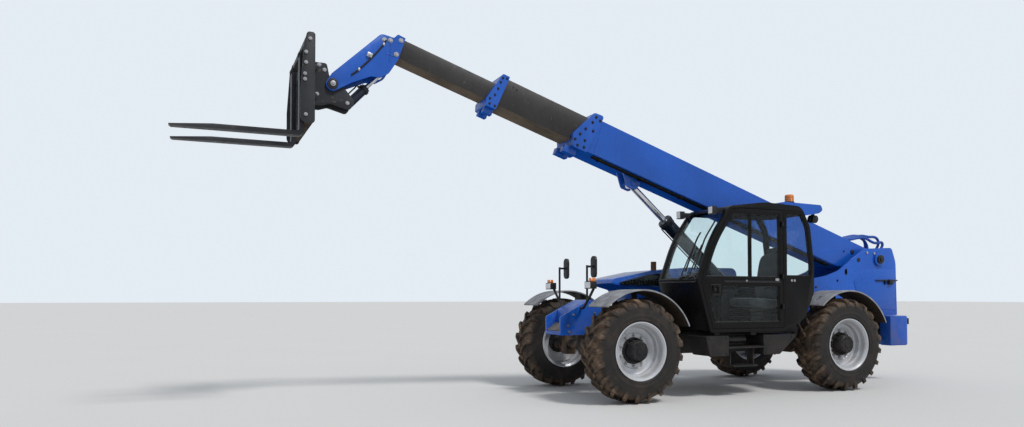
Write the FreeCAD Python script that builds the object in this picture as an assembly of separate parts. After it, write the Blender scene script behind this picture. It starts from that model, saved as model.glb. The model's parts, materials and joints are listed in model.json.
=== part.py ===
import FreeCAD, Part

import math
import os

from FreeCAD import Vector

# Telescopic handler with a three-section boom, fork carriage and side cab.
# Lengths are millimetres and angles are degrees.
# The working frame has +X forward, +Y to the cab side, +Z up, and its zero
# on the ground below the middle of the rear axle.

# Wheels and axles
WHEELBASE = 3100
TRACK = 1870
TYRE_RADIUS = 590
TYRE_WIDTH = 405
LUG_HEIGHT = 32
LUG_COUNT = 14
LUG_TIP_RADIUS = TYRE_RADIUS / math.cos(math.pi / (2 * LUG_COUNT))
RIM_SIDES = 36
AXLE_SIDES = 20
RIM_SEAT_RADIUS = 305
RIM_FLANGE_RADIUS = 332
RIM_HALF_WIDTH = 190
RIM_WALL = 12
HUB_RADIUS = 140
HUB_FACE = 90
SPINDLE_RADIUS = 60
KINGPIN_Y = 720
KINGPIN_RADIUS = 26
AXLE_TUBE_RADIUS = 85
AXLE_BULGE_RADIUS = 165
STEER_LIMIT = 33

# Clearances
SEAT_GAP = 0.3
PIN_GAP = 0.05
SIDE_GAP = 6

# Mudguards
GUARD_CLEARANCE = 65
GUARD_INNER_RADIUS = TYRE_RADIUS + GUARD_CLEARANCE
GUARD_THICKNESS = 20
GUARD_BACK_SHIFT = 30
GUARD_LIFT = 20
GUARD_AHEAD = 44
GUARD_BEHIND = 68
GUARD_INNER_Y = 690
GUARD_OUTER_Y = 1130

# Chassis
RAIL_INNER_Y = 250
RAIL_OUTER_Y = 285
RAIL_TOP = 1080
RAIL_BOTTOM = 480
RAIL_OVER_AXLE = 720
RAIL_REAR_X = -1600
RAIL_FRONT_X = WHEELBASE - 250
OUTRIGGER_BOTTOM = 740
OUTRIGGER_X = (1420, 1960)
OUTRIGGER_LENGTH = 80
NOSE_HALF_WIDTH = 210
NOSE_CHEEK = 30
WEIGHT_HALF_WIDTH = 480
WEIGHT_REAR_X = -1850
WEIGHT_BOTTOM = 500
WEIGHT_TOP = 925
HITCH_X = -1790
HITCH_PIN_RADIUS = 16
HITCH_JAW = (560, 640)
HITCH_TOP = 700
TOWER_THICKNESS = 30

# Boom, in its own frame: s along it from the pivot, h up from the pivot
BOOM_ANGLE = 18.5
PIVOT_X = -1450
PIVOT_Z = 1740
PIVOT_PIN_RADIUS = 50
BOOM_LOW = -21
BOOM_HIGH = 41.5
BASE_FRONT = 4930
BASE_TOP = 120
BASE_BOTTOM = -320
BASE_HALF_WIDTH = 190
BOOM_WALL = 12
COLLAR_REAR = 4800
COLLAR_HALF_WIDTH = 220
MID_REAR = 1950
MID_FRONT = 6170
MID_TOP = 95
MID_BOTTOM = -255
MID_HALF_WIDTH = 155
MID_COLLAR_HALF_WIDTH = 187
TIP_REAR = 2950
TIP_FRONT = 7380
TIP_TOP = -5
TIP_BOTTOM = -230
TIP_HALF_WIDTH = 120
PAD_LENGTH = 180
STAGE_IN = -0.9
STAGE_OUT = 2.3

# Boom head, coupler and forks
HEAD_HALF_WIDTH = 150
HEAD_PLATE = 25
NOSE_PIN_S = 7950
NOSE_PIN_H = -815
NOSE_PIN_RADIUS = 40
EAR_S = 7500
EAR_H = -457
COUPLER_PLATE = 24
COUPLER_ARM = (-182, -182)
COUPLER_FRONT = 252
CARRIAGE_HALF_WIDTH = 580
CARRIAGE_DEPTH = 80
CARRIAGE_TOP = 3850
BAR_COUNT = 7
FORK_BOTTOM = 2860
FORK_THICKNESS = 45
FORK_WIDTH = 125
FORK_HALF_SPREAD = 330
TILT_BACK = -15
TILT_FORWARD = 35

# Cylinders
LIFT_EYE_S = 4080
LIFT_EYE_H = -405
LIFT_FOOT_X = 520
LIFT_FOOT_Z = 900
LIFT_BARREL_RADIUS = 85
LIFT_BORE_RADIUS = 68
LIFT_ROD_RADIUS = 42
LIFT_GLAND_TO_EYE = 690
LIFT_GLAND_RADIUS = 93
LIFT_PISTON_AT = 770
LIFT_PIN_RADIUS = 35
TILT_BARREL_RADIUS = 50
TILT_BORE_RADIUS = 38
TILT_ROD_RADIUS = 25
TILT_GLAND_TO_EYE = 225
TILT_PISTON_AT = 200
TILT_BORE_START = 36
TILT_BORE_END = 15
TILT_PIN_RADIUS = 25

# Cab and hood
CAB_INNER_Y = RAIL_OUTER_Y + 3
CAB_OUTER_Y = 1090
CAB_WALL = 45
CAB_FLOOR = 780
CAB_TOP = 2352
ROOF_DEPTH = 82
ROOF_SPLIT = CAB_TOP - ROOF_DEPTH
DOOR_REAR_X = 1035
DOOR_BOTTOM = 800
DOOR_TOP = 2260
DOOR_GAP = 5
HINGE_PIN_Y = 1106
HINGE_PIN_X = 1020
HINGE_RADIUS = 14
DOOR_OPEN = 95
GLASS_DEPTH = 16
GLASS_THICKNESS = 6
HOOD_INNER_Y = -345
HOOD_OUTER_Y = -1080
HOOD_WALL = 20

FORK_TIP_X = 7950
ORIGIN_X = (FORK_TIP_X + WEIGHT_REAR_X) / 2

WHEELS = (
    # name, axle x, side
    ("front_left", WHEELBASE, 1),
    ("front_right", WHEELBASE, -1),
    ("rear_left", 0, 1),
    ("rear_right", 0, -1),
)


def block(x0, x1, y0, y1, z0, z1):
    """Box between two corners given in any order."""
    low = Vector(min(x0, x1), min(y0, y1), min(z0, z1))
    return Part.makeBox(abs(x1 - x0), abs(y1 - y0), abs(z1 - z0), low)


def rod(x, y, z, radius, length, direction=(0, 1, 0)):
    """Cylinder from a start point along a direction."""
    return Part.makeCylinder(radius, length, Vector(x, y, z), Vector(*direction))


def cross_rod(x, z, radius, half_width):
    """Cylinder across the machine, centred on the middle plane."""
    return rod(x, -half_width, z, radius, 2 * half_width)


def join(shapes):
    """One shape from several that touch."""
    whole = shapes[0]
    if len(shapes) > 1:
        whole = shapes[0].fuse(list(shapes[1:]))
    return whole.removeSplitter()


def both_sides(shape):
    """The shape and its mirror image on the other side."""
    return [shape, shape.mirror(Vector(0, 0, 0), Vector(0, 1, 0))]


def corner(before, here, after, radius):
    """Start, middle and end of the arc that rounds one corner."""
    back = before - here
    ahead = after - here
    half = back.getAngle(ahead) / 2
    reach = min(radius / math.tan(half), 0.46 * back.Length, 0.46 * ahead.Length)
    actual = reach * math.tan(half)
    back.normalize()
    ahead.normalize()
    inward = back + ahead
    inward.normalize()
    centre = here + inward * (actual / math.sin(half))
    return here + back * reach, centre - inward * actual, here + ahead * reach


def outline(points):
    """Closed wire in the XZ plane from rows of x, z and corner radius."""
    corners = [Vector(x, 0, z) for x, z, _ in points]
    spans = []
    for i, (_, _, radius) in enumerate(points):
        after = corners[(i + 1) % len(points)]
        if radius > 0:
            spans.append(corner(corners[i - 1], corners[i], after, radius))
        else:
            spans.append((corners[i], None, corners[i]))
    edges = []
    for i, (start, middle, end) in enumerate(spans):
        if middle is not None:
            edges.append(Part.Arc(start, middle, end).toShape())
        following = spans[(i + 1) % len(spans)][0]
        if end.distanceToPoint(following) > 0.001:
            edges.append(Part.makeLine(end, following))
    return Part.Wire(edges)


def plate(points, y0, y1):
    """Plate with an XZ outline between two values of y."""
    face = Part.Face(outline(points))
    face.translate(Vector(0, y0, 0))
    return face.extrude(Vector(0, y1 - y0, 0))


def inset(points, distance):
    """The same outline with every side moved inwards."""
    area = 0
    for i, (x, z, _) in enumerate(points):
        after = points[(i + 1) % len(points)]
        area += x * after[1] - after[0] * z
    turn = 1 if area > 0 else -1
    moved = []
    for i, (x, z, radius) in enumerate(points):
        before = points[i - 1]
        after = points[(i + 1) % len(points)]
        first = Vector(x - before[0], z - before[1], 0)
        second = Vector(after[0] - x, after[1] - z, 0)
        first.normalize()
        second.normalize()
        normal_1 = Vector(-first.y, first.x, 0) * turn
        normal_2 = Vector(-second.y, second.x, 0) * turn
        bisector = normal_1 + normal_2
        shift = bisector * (2 * distance / bisector.Length ** 2)
        moved.append((x + shift.x, z + shift.y, max(radius - distance, 0)))
    return moved


def flat_face(corners):
    """Flat face between corners in order."""
    return Part.Face(Part.makePolygon(corners + corners[:1]))


def closed_solid(faces):
    """Solid inside flat faces that meet along their edges."""
    shell = Part.makeShell(faces)
    shell.sewShape()
    solid = Part.makeSolid(shell)
    return solid if solid.Volume > 0 else solid.reversed()


def faceted(points, x, y, z, sides):
    """Flat-sided ring about a wheel's axis from rows of radius and offset."""
    rings = []
    for i in range(sides + 1):
        turn = 2 * math.pi * (i % sides) / sides
        away = Vector(math.sin(turn), 0, math.cos(turn))
        rings.append([Vector(x, y + offset, z) + away * radius for radius, offset in points])
    faces = []
    for ring, after in zip(rings, rings[1:]):
        for j in range(len(points)):
            k = (j + 1) % len(points)
            corners = [ring[j], ring[k]]
            corners += [after[i] for i in (k, j) if points[i][0] > 0]
            if len(corners) > 2:
                faces.append(flat_face(corners))
    return closed_solid(faces)


def tube(points, radius, bend):
    """Round bar along straight runs joined by arcs."""
    places = [Vector(*point) for point in points]
    edges = []
    start = places[0]
    for i in range(1, len(places) - 1):
        first, middle, last = corner(places[i - 1], places[i], places[i + 1], bend)
        edges.append(Part.makeLine(start, first))
        edges.append(Part.Arc(first, middle, last).toShape())
        start = last
    edges.append(Part.makeLine(start, places[-1]))
    path = Part.Wire(edges)
    ring = Part.Wire(Part.makeCircle(radius, places[0], places[1] - places[0]))
    return path.makePipeShell([ring], True, False)


def raise_boom(shape):
    """Carry a shape from the boom's frame to its rest pose."""
    shape.rotate(Vector(0, 0, 0), Vector(0, 1, 0), -BOOM_ANGLE)
    shape.translate(Vector(PIVOT_X, 0, PIVOT_Z))
    return shape


def boom_point(s, h):
    """Place in the working frame of a point given in the boom's frame."""
    angle = math.radians(BOOM_ANGLE)
    x = PIVOT_X + s * math.cos(angle) - h * math.sin(angle)
    z = PIVOT_Z + s * math.sin(angle) + h * math.cos(angle)
    return Vector(x, 0, z)


def lay_along(shape, start, end):
    """Turn a shape made along +X from zero so that it runs from start to end."""
    run = end - start
    shape.rotate(Vector(0, 0, 0), Vector(0, 1, 0), -math.degrees(math.atan2(run.z, run.x)))
    shape.translate(start)
    return shape


def ring_section(s0, s1, half_width, top, bottom, inner_half, inner_top, inner_bottom):
    """Rectangular tube along the boom."""
    outer = block(s0, s1, -half_width, half_width, bottom, top)
    return outer.cut(block(s0 - 1, s1 + 1, -inner_half, inner_half, inner_bottom, inner_top))


def write(name, shapes):
    """Save one sub-part with its zero under the middle of the machine."""
    solid = shapes[0] if len(shapes) == 1 else Part.makeCompound(shapes)
    solid = solid.copy()
    solid.translate(Vector(-ORIGIN_X, 0, 0))
    solid.exportStep("parts/" + name + ".step")


def in_row(point):
    """Point of the working frame in the finished part's frame, in metres."""
    return ((point.x - ORIGIN_X) / 1000, point.y / 1000, point.z / 1000)


# Running gear

def wheel_y(side):
    return side * TRACK / 2


LUG_ROWS = (
    # offset from the middle plane, run round the tread, foot radius, top radius, half width
    (-14, 78, 525, LUG_TIP_RADIUS, 25),
    (150, -50, 510, TYRE_RADIUS - 4, 32),
    (TYRE_WIDTH / 2, -74, 478, TYRE_RADIUS - 76, 32),
)


def lug(hand):
    """Bar of the tread at the top of a wheel, slanted from the middle over the shoulder."""
    rings = []
    for offset, run, foot, top, half in LUG_ROWS:
        far = abs(run) + half
        low = math.sqrt(foot ** 2 - far ** 2)
        high = math.sqrt(top ** 2 - far ** 2)
        rings.append([Vector(run + dx, hand * offset, z)
                      for dx, z in ((-half, low), (half, low), (half, high), (-half, high))])
    faces = [flat_face(rings[0]), flat_face(rings[-1])]
    for ring, after in zip(rings, rings[1:]):
        for i in range(4):
            k = (i + 1) % 4
            corners = [ring[i], ring[k], after[k], after[i]]
            faces += [flat_face(corners[:3]), flat_face([corners[0]] + corners[2:])]
    return closed_solid(faces)


def tyre():
    """Tyre round the zero point, turned so that it stands on the tips of two lugs."""
    body = TYRE_RADIUS - LUG_HEIGHT
    half = TYRE_WIDTH / 2
    bead = RIM_HALF_WIDTH - RIM_WALL - 8
    wider = 1 / math.cos(math.pi / LUG_COUNT)
    seat = (RIM_SEAT_RADIUS + SEAT_GAP) * wider
    flange = (RIM_FLANGE_RADIUS + 2) * wider
    outer = (
        # radius, offset from the centre plane
        (seat, bead),
        (flange, bead + 7),
        (body - 56, half - 12),
        (body, half - 76),
    )
    inner = ((body - 60, half - 60),)
    section = [(radius, -offset) for radius, offset in outer] + list(reversed(outer))
    section += [(radius, offset) for radius, offset in reversed(inner)]
    section += [(radius, -offset) for radius, offset in inner]
    ring = faceted(section, 0, 0, 0, LUG_COUNT)
    _, run, _, top, width = LUG_ROWS[0]
    first = 90 / LUG_COUNT - math.degrees(math.asin((run + width) / top))
    bars = []
    for hand, shift in ((1, 0), (-1, 0.5)):
        for i in range(LUG_COUNT):
            bar = lug(hand)
            bar.rotate(Vector(0, 0, 0), Vector(0, 1, 0), first + 360 * (i + shift) / LUG_COUNT)
            bars.append(bar)
    return join([ring] + bars)


def rim(x, side):
    seat = RIM_SEAT_RADIUS
    wide = RIM_HALF_WIDTH
    inner = seat - RIM_WALL
    section = (
        (RIM_FLANGE_RADIUS, wide),
        (RIM_FLANGE_RADIUS, wide - RIM_WALL),
        (seat, wide - RIM_WALL - 8),
        (seat - 4, 70),
        (seat - 22, 50),
        (seat - 22, -60),
        (seat - 4, -80),
        (seat, RIM_WALL + 8 - wide),
        (RIM_FLANGE_RADIUS, RIM_WALL - wide),
        (RIM_FLANGE_RADIUS, -wide),
        (inner, -wide + 14),
        (inner - 26, -80),
        (inner - 26, -40),
        (HUB_RADIUS + 20, -22),
        (HUB_RADIUS - 20, -22),
        (HUB_RADIUS - 20, -6),
        (HUB_RADIUS + 30, -6),
        (inner - 26, 0),
        (inner - 26, 55),
        (inner, 75),
    )
    hub_section = (
        (0, -34),
        (HUB_RADIUS, -34),
        (HUB_RADIUS, HUB_FACE - 40),
        (HUB_RADIUS - 25, HUB_FACE - 8),
        (HUB_RADIUS - 60, HUB_FACE),
        (0, HUB_FACE),
    )
    y = wheel_y(side)
    turned = [[(radius, side * offset) for radius, offset in rows] for rows in (section, hub_section)]
    disc, hub = [faceted(rows, x, y, TYRE_RADIUS, RIM_SIDES) for rows in turned]
    bore = rod(x, y - side * 35, TYRE_RADIUS, SPINDLE_RADIUS + PIN_GAP, 80 + SEAT_GAP, (0, side, 0))
    return join([disc, hub]).cut(bore)


def knuckle(x, side):
    y = wheel_y(side)
    pin_y = side * KINGPIN_Y
    post = rod(x, pin_y, TYRE_RADIUS - 112, 70, 224, (0, 0, 1))
    housing = rod(x, pin_y, TYRE_RADIUS, 98, abs(y - pin_y) - 34 - SEAT_GAP, (0, side, 0))
    spindle = rod(x, pin_y, TYRE_RADIUS, SPINDLE_RADIUS, abs(y - pin_y) + 45, (0, side, 0))
    arm = block(x - 205, x, side * 690, side * 730, TYRE_RADIUS - 30, TYRE_RADIUS + 30)
    strap = block(x - 205, x - 130, side * 694, side * 712, TYRE_RADIUS - 30, 1400)
    arch = cross_rod(x - GUARD_BACK_SHIFT, TYRE_RADIUS + GUARD_LIFT, GUARD_INNER_RADIUS - SEAT_GAP, 1200)
    whole = join([post, housing, spindle, arm, strap.common(arch)])
    return whole.cut(rod(x, pin_y, TYRE_RADIUS - 200, KINGPIN_RADIUS + PIN_GAP, 400, (0, 0, 1)))


def mudguard(x, side):
    centre = Vector(x - GUARD_BACK_SHIFT, side * GUARD_INNER_Y, TYRE_RADIUS + GUARD_LIFT)
    width = GUARD_OUTER_Y - GUARD_INNER_Y
    across = Vector(0, side, 0)
    outer = Part.makeCylinder(GUARD_INNER_RADIUS + GUARD_THICKNESS, width, centre, across)
    inner = Part.makeCylinder(GUARD_INNER_RADIUS, width, centre, across)
    reach = 1500
    fan = [Vector(centre.x, 0, centre.z)]
    for angle in (GUARD_AHEAD, (GUARD_AHEAD - GUARD_BEHIND) / 2, -GUARD_BEHIND):
        turn = math.radians(angle)
        fan.append(fan[0] + Vector(math.sin(turn), 0, math.cos(turn)) * reach)
    wedge = Part.Face(Part.makePolygon(fan + [fan[0]]))
    wedge.translate(Vector(0, -1500, 0))
    guard = outer.cut(inner).common(wedge.extrude(Vector(0, 3000, 0)))
    slot = block(-50, 50, side * 920, side * 950, GUARD_INNER_RADIUS - 10, GUARD_INNER_RADIUS + GUARD_THICKNESS + 10)
    slot.rotate(Vector(0, 0, 0), Vector(0, 1, 0), GUARD_AHEAD - 12)
    return guard.cut(slot.translated(Vector(centre.x, 0, centre.z)))


def axle(x):
    profile = (
        # radius, offset from the middle plane
        (0, -600),
        (AXLE_TUBE_RADIUS - 20, -600),
        (AXLE_TUBE_RADIUS, -200),
        (AXLE_BULGE_RADIUS, -100),
        (AXLE_BULGE_RADIUS, 100),
        (AXLE_TUBE_RADIUS, 200),
        (AXLE_TUBE_RADIUS - 20, 600),
        (0, 600),
    )
    pieces = [faceted(profile, x, 0, TYRE_RADIUS, AXLE_SIDES)]
    for side in (1, -1):
        pin_y = side * KINGPIN_Y
        pieces.append(block(x - 65, x + 65, side * 575, side * 625, TYRE_RADIUS - 145, TYRE_RADIUS + 145))
        for low in (TYRE_RADIUS - 145, TYRE_RADIUS + 112 + SEAT_GAP):
            high = low + 33 - SEAT_GAP
            pieces.append(block(x - 60, x + 60, side * 600, pin_y, low, high))
            pieces.append(rod(x, pin_y, low, 60, high - low, (0, 0, 1)))
        pieces.append(rod(x, pin_y, TYRE_RADIUS - 150, KINGPIN_RADIUS, 300, (0, 0, 1)))
    return pieces


def axles():
    front = axle(WHEELBASE)
    front.append(block(WHEELBASE - 110, WHEELBASE + 110, -120, 120, 700, 780))
    rear = axle(0)
    for side in (1, -1):
        rear.append(block(-110, 110, side * 235, side * RAIL_OUTER_Y, TYRE_RADIUS, RAIL_OVER_AXLE))
    write("axles", [join(front), join(rear)])


def running_gear():
    axles()
    lugged = tyre()
    for name, x, side in WHEELS:
        write("tyre_" + name, [lugged.translated(Vector(x, wheel_y(side), TYRE_RADIUS))])
        write("rim_" + name, [rim(x, side)])
        write("knuckle_" + name, [knuckle(x, side)])
        write("mudguard_" + name, [mudguard(x, side)])


# Chassis

def chassis_frame():
    rail = (
        # x, z, corner radius
        (RAIL_REAR_X, 560, 30),
        (-420, 560, 60),
        (-330, RAIL_OVER_AXLE, 0),
        (330, RAIL_OVER_AXLE, 0),
        (420, RAIL_BOTTOM, 60),
        (2500, RAIL_BOTTOM, 60),
        (2640, 640, 30),
        (RAIL_FRONT_X, 640, 0),
        (RAIL_FRONT_X, 980, 0),
        (2640, RAIL_TOP, 60),
        (RAIL_REAR_X, RAIL_TOP, 0),
    )
    pieces = both_sides(plate(rail, RAIL_INNER_Y, RAIL_OUTER_Y))
    pieces.append(block(1000, 2500, -RAIL_INNER_Y, RAIL_INNER_Y, RAIL_BOTTOM, RAIL_BOTTOM + 12))
    pieces.append(block(RAIL_REAR_X, RAIL_REAR_X + 20, -RAIL_INNER_Y, RAIL_INNER_Y, 560, RAIL_TOP))
    for x in OUTRIGGER_X:
        for low, high in ((RAIL_OUTER_Y, 1040), (-1060, -RAIL_OUTER_Y)):
            pieces.append(block(x, x + OUTRIGGER_LENGTH, low, high, OUTRIGGER_BOTTOM, CAB_FLOOR))
    for side in (1, -1):
        stub = rod(LIFT_FOOT_X, side * 75, LIFT_FOOT_Z, 55, RAIL_INNER_Y - 75, (0, side, 0))
        pieces.append(stub)
    write("chassis_frame", [join(pieces)])


NOSE_SHAPE = (
    # x from the front axle, z, corner radius
    (-500, 640, 0),
    (-250, 640, 0),
    (-200, 780, 0),
    (200, 780, 0),
    (240, 740, 20),
    (548, 736, 15),
    (548, 955, 25),
    (330, 1070, 80),
    (130, 1166, 80),
    (-90, 1120, 60),
    (-250, 960, 60),
    (-500, 960, 0),
)


def front_nose():
    shape = [(WHEELBASE + x, z, radius) for x, z, radius in NOSE_SHAPE]
    beam = plate(shape, -NOSE_HALF_WIDTH, NOSE_HALF_WIDTH)
    between = NOSE_HALF_WIDTH - NOSE_CHEEK
    beam = beam.cut(block(WHEELBASE + 400, WHEELBASE + 700, -between, between, 785, 1200))
    seat = block(WHEELBASE - 500, RAIL_FRONT_X, -RAIL_INNER_Y, RAIL_INNER_Y, 640, 960)
    write("front_nose", [join([beam, seat])])


def boom_tower():
    side_plate = (
        (-1806, 930, 20),
        (-1788, 1708, 300),
        (-1711, 1915, 60),
        (-1189, 1890, 80),
        (-933, 1736, 300),
        (-682, 1567, 300),
        (-438, 1490, 300),
        (-193, 1452, 100),
        (480, 1400, 60),
        (480, 960, 40),
        (-900, 960, 60),
        (-1100, 930, 0),
    )
    outer_y = RAIL_OUTER_Y + TOWER_THICKNESS
    pieces = both_sides(plate(side_plate, RAIL_OUTER_Y, outer_y))
    pieces.append(block(-1726, -1690, -RAIL_OUTER_Y, RAIL_OUTER_Y, 960, 1480))
    pieces.append(cross_rod(PIVOT_X, PIVOT_Z, PIVOT_PIN_RADIUS, outer_y))
    for side in (1, -1):
        pieces.append(rod(PIVOT_X, side * outer_y, PIVOT_Z, 95, 28, (0, side, 0)))
    write("boom_tower", [join(pieces)])


def counterweight():
    main = block(WEIGHT_REAR_X, RAIL_REAR_X, -WEIGHT_HALF_WIDTH, WEIGHT_HALF_WIDTH, WEIGHT_BOTTOM, WEIGHT_TOP)
    cheeks = both_sides(block(RAIL_REAR_X, -1480, RAIL_OUTER_Y, WEIGHT_HALF_WIDTH, WEIGHT_BOTTOM, WEIGHT_TOP))
    whole = join([main] + cheeks)
    edges = [e for e in whole.Edges if is_upright(e) and e.CenterOfMass.x < WEIGHT_REAR_X + 1]
    whole = whole.makeFillet(60, edges)
    low, high = HITCH_JAW
    jaw = block(WEIGHT_REAR_X - 1, HITCH_X + 60, -60, 60, low, high)
    recess = block(WEIGHT_REAR_X - 1, HITCH_X + 60, -60, 60, HITCH_TOP, WEIGHT_TOP + 1)
    hole = rod(HITCH_X, 0, WEIGHT_BOTTOM - 1, HITCH_PIN_RADIUS, HITCH_TOP, (0, 0, 1))
    write("counterweight", [whole.cut(jaw).cut(recess).cut(hole)])


def is_upright(edge):
    """True for a straight edge along Z."""
    ends = [vertex.Point for vertex in edge.Vertexes]
    return len(ends) == 2 and abs(ends[0].x - ends[1].x) + abs(ends[0].y - ends[1].y) < 0.01


def is_lengthwise(edge):
    """True for a straight edge along X."""
    ends = [vertex.Point for vertex in edge.Vertexes]
    return len(ends) == 2 and abs(ends[0].z - ends[1].z) + abs(ends[0].y - ends[1].y) < 0.01


def side_steps():
    front_box = ((1860, OUTRIGGER_BOTTOM, 10), (2190, OUTRIGGER_BOTTOM, 20), (2130, 500, 30), (1860, 500, 10))
    rear_box = ((1340, OUTRIGGER_BOTTOM, 10), (800, OUTRIGGER_BOTTOM, 20), (1090, 500, 30), (1340, 500, 10))
    pieces = [plate(front_box, 740, 1080), plate(rear_box, 740, 1080)]
    pieces.append(block(1330, 1870, 800, 1080, 585, 605))
    pieces.append(rod(1560, 980, 690, 45, 301, (1, 0, 0)))
    pieces.append(block(1430, 1790, 860, 1080, 365, 385))
    for x in (1430, 1774):
        pieces.append(block(x, x + 16, 900, 1010, 365, 590))
    write("side_steps", [join(pieces)])


def engine_block():
    body = block(1000, 1900, -900, -390, CAB_FLOOR, 1320)
    feet = [block(x, x + 120, -400, -RAIL_OUTER_Y, 800, 860) for x in (1050, 1730)]
    write("engine_block", [join([body] + feet)])


HOOD_SHAPE = (
    (1030, 780, 60),
    (2060, 780, 60),
    (2270, 1290, 60),
    (2440, 1335, 40),
    (2610, 1375, 20),
    (2590, 1435, 40),
    (2000, 1550, 400),
    (1350, 1605, 400),
    (575, 1605, 100),
    (560, 1250, 120),
    (700, 930, 60),
)


def engine_hood():
    outer = plate(HOOD_SHAPE, HOOD_OUTER_Y, HOOD_INNER_Y)
    edges = [e for e in outer.Edges if abs(e.CenterOfMass.y - HOOD_OUTER_Y) < 1 and e.CenterOfMass.z > 1380]
    outer = outer.makeFillet(60, edges)
    inner = plate(inset(HOOD_SHAPE, HOOD_WALL), HOOD_OUTER_Y + HOOD_WALL, HOOD_INNER_Y - HOOD_WALL)
    whole = outer.cut(inner)
    whole = whole.cut(block(1000, 2080, HOOD_OUTER_Y + HOOD_WALL, HOOD_INNER_Y - HOOD_WALL, 700, 900))
    whole = whole.cut(block(900, 2200, HOOD_INNER_Y - HOOD_WALL - 1, HOOD_INNER_Y + 1, 700, 1180))
    write("engine_hood", [whole])


def hood_fittings():
    face = HOOD_INNER_Y
    intake = plate(((1730, 1355, 20), (2480, 1355, 30), (2500, 1395, 20), (2100, 1490, 200), (1730, 1535, 30)),
                   face, face + 45)
    for x in range(1920, 2370, 45):
        intake = intake.cut(block(x, x + 28, face + 20, face + 46, 1375, 1425))
    outer_face = HOOD_OUTER_Y
    louvre = block(1150, 1950, outer_face - 12, outer_face, 960, 1320)
    louvre = louvre.cut(block(1180, 1920, outer_face - 13, outer_face + 1, 990, 1290))
    slats = [block(1170, 1930, outer_face - 10, outer_face, z, z + 16) for z in range(1005, 1290, 40)]
    side = join([louvre] + slats)
    stack = rod(1880, -470, 1590, 38, 90, (0, 0, 1)).cut(rod(1880, -470, 1600, 30, 90, (0, 0, 1)))
    base = rod(1880, -470, 1560, 38, 40, (0, 0, 1)).cut(plate(inset(HOOD_SHAPE, -0.01), -700, -300))
    write("hood_grilles", [intake, side])
    write("exhaust_stack", [join([stack, base])])


# Cab

CAB_SHAPE = (
    (2130, CAB_FLOOR, 40),
    (2310, 1390, 80),
    (2115, 1900, 1500),
    (1840, 2285, 150),
    (1300, CAB_TOP, 900),
    (740, 2325, 120),
    (600, 2080, 300),
    (540, 1600, 300),
    (545, 1250, 120),
    (700, 930, 60),
    (1030, CAB_FLOOR, 60),
)


def cab_slice(margin, y0, y1, x0, x1, z0, z1):
    """Part of the cab's side outline, moved inwards and kept inside a box."""
    return plate(inset(CAB_SHAPE, margin), y0, y1).common(block(x0, x1, y0, y1, z0, z1))


def cab_panes():
    """Side openings, rear quarter then inner side, as rows of margin, y, x and z ranges."""
    side_out = (CAB_OUTER_Y - CAB_WALL - 1, CAB_OUTER_Y + 1)
    side_in = (CAB_INNER_Y - 1, CAB_INNER_Y + CAB_WALL + 1)
    return (
        (55, side_out, (500, 975), (1460, 2225)),
        (70, side_in, (500, 2400), (1430, 2225)),
    )


def door_region(margin, gap):
    """Side outline of the door, grown by a gap."""
    wall = CAB_OUTER_Y - CAB_WALL
    x0 = DOOR_REAR_X - gap
    return cab_slice(margin - gap, wall, CAB_OUTER_Y, x0, 2600, DOOR_BOTTOM - gap, DOOR_TOP + gap)


DOOR_WINDOWS = (
    # boxes of x range and z range that make up each opening
    ((DOOR_REAR_X + 60, 1520, 1440, 2200),),
    ((1545, 2600, 1440, 2200),),
    ((DOOR_REAR_X + 60, 1960, 900, 1330), (1900, 2600, 900, 1210)),
)


def door_window(boxes, y0, y1):
    """Part of the door's outline inside the boxes of one opening."""
    return join([cab_slice(CAB_WALL + 55, y0, y1, *box) for box in boxes])


def cab():
    outer = plate(CAB_SHAPE, CAB_INNER_Y, CAB_OUTER_Y)
    inner = plate(inset(CAB_SHAPE, CAB_WALL), CAB_INNER_Y + CAB_WALL, CAB_OUTER_Y - CAB_WALL)
    shell = outer.cut(inner)
    glass = []
    for margin, (y0, y1), (x0, x1), (z0, z1) in cab_panes():
        cutter = cab_slice(margin, y0, y1, x0, x1, z0, z1)
        shell = shell.cut(cutter)
        middle = (y0 + y1) / 2
        glass.append(cab_slice(margin, middle, middle + GLASS_THICKNESS, x0, x1, z0, z1))
    pane_skin = plate(inset(CAB_SHAPE, GLASS_DEPTH), CAB_INNER_Y, CAB_OUTER_Y)
    pane_skin = pane_skin.cut(plate(inset(CAB_SHAPE, GLASS_DEPTH + GLASS_THICKNESS), CAB_INNER_Y - 1, CAB_OUTER_Y + 1))
    low_y = CAB_INNER_Y + CAB_WALL + 5
    high_y = CAB_OUTER_Y - CAB_WALL - 5
    for x0, x1, z0, z1 in ((1750, 2600, 1420, 2235), (450, 800, 1460, 2225)):
        opening = block(x0, x1, low_y, high_y, z0, z1)
        shell = shell.cut(opening)
        glass.append(pane_skin.common(opening))
    shell = shell.cut(door_region(CAB_WALL, DOOR_GAP))
    roof = shell.common(block(0, 3000, 0, 1500, ROOF_SPLIT, 3000))
    shell = shell.cut(block(0, 3000, 0, 1500, ROOF_SPLIT, 3000))
    write("cab_shell", [shell])
    write("cab_roof", [roof])
    write("cab_glass", glass)


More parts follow.
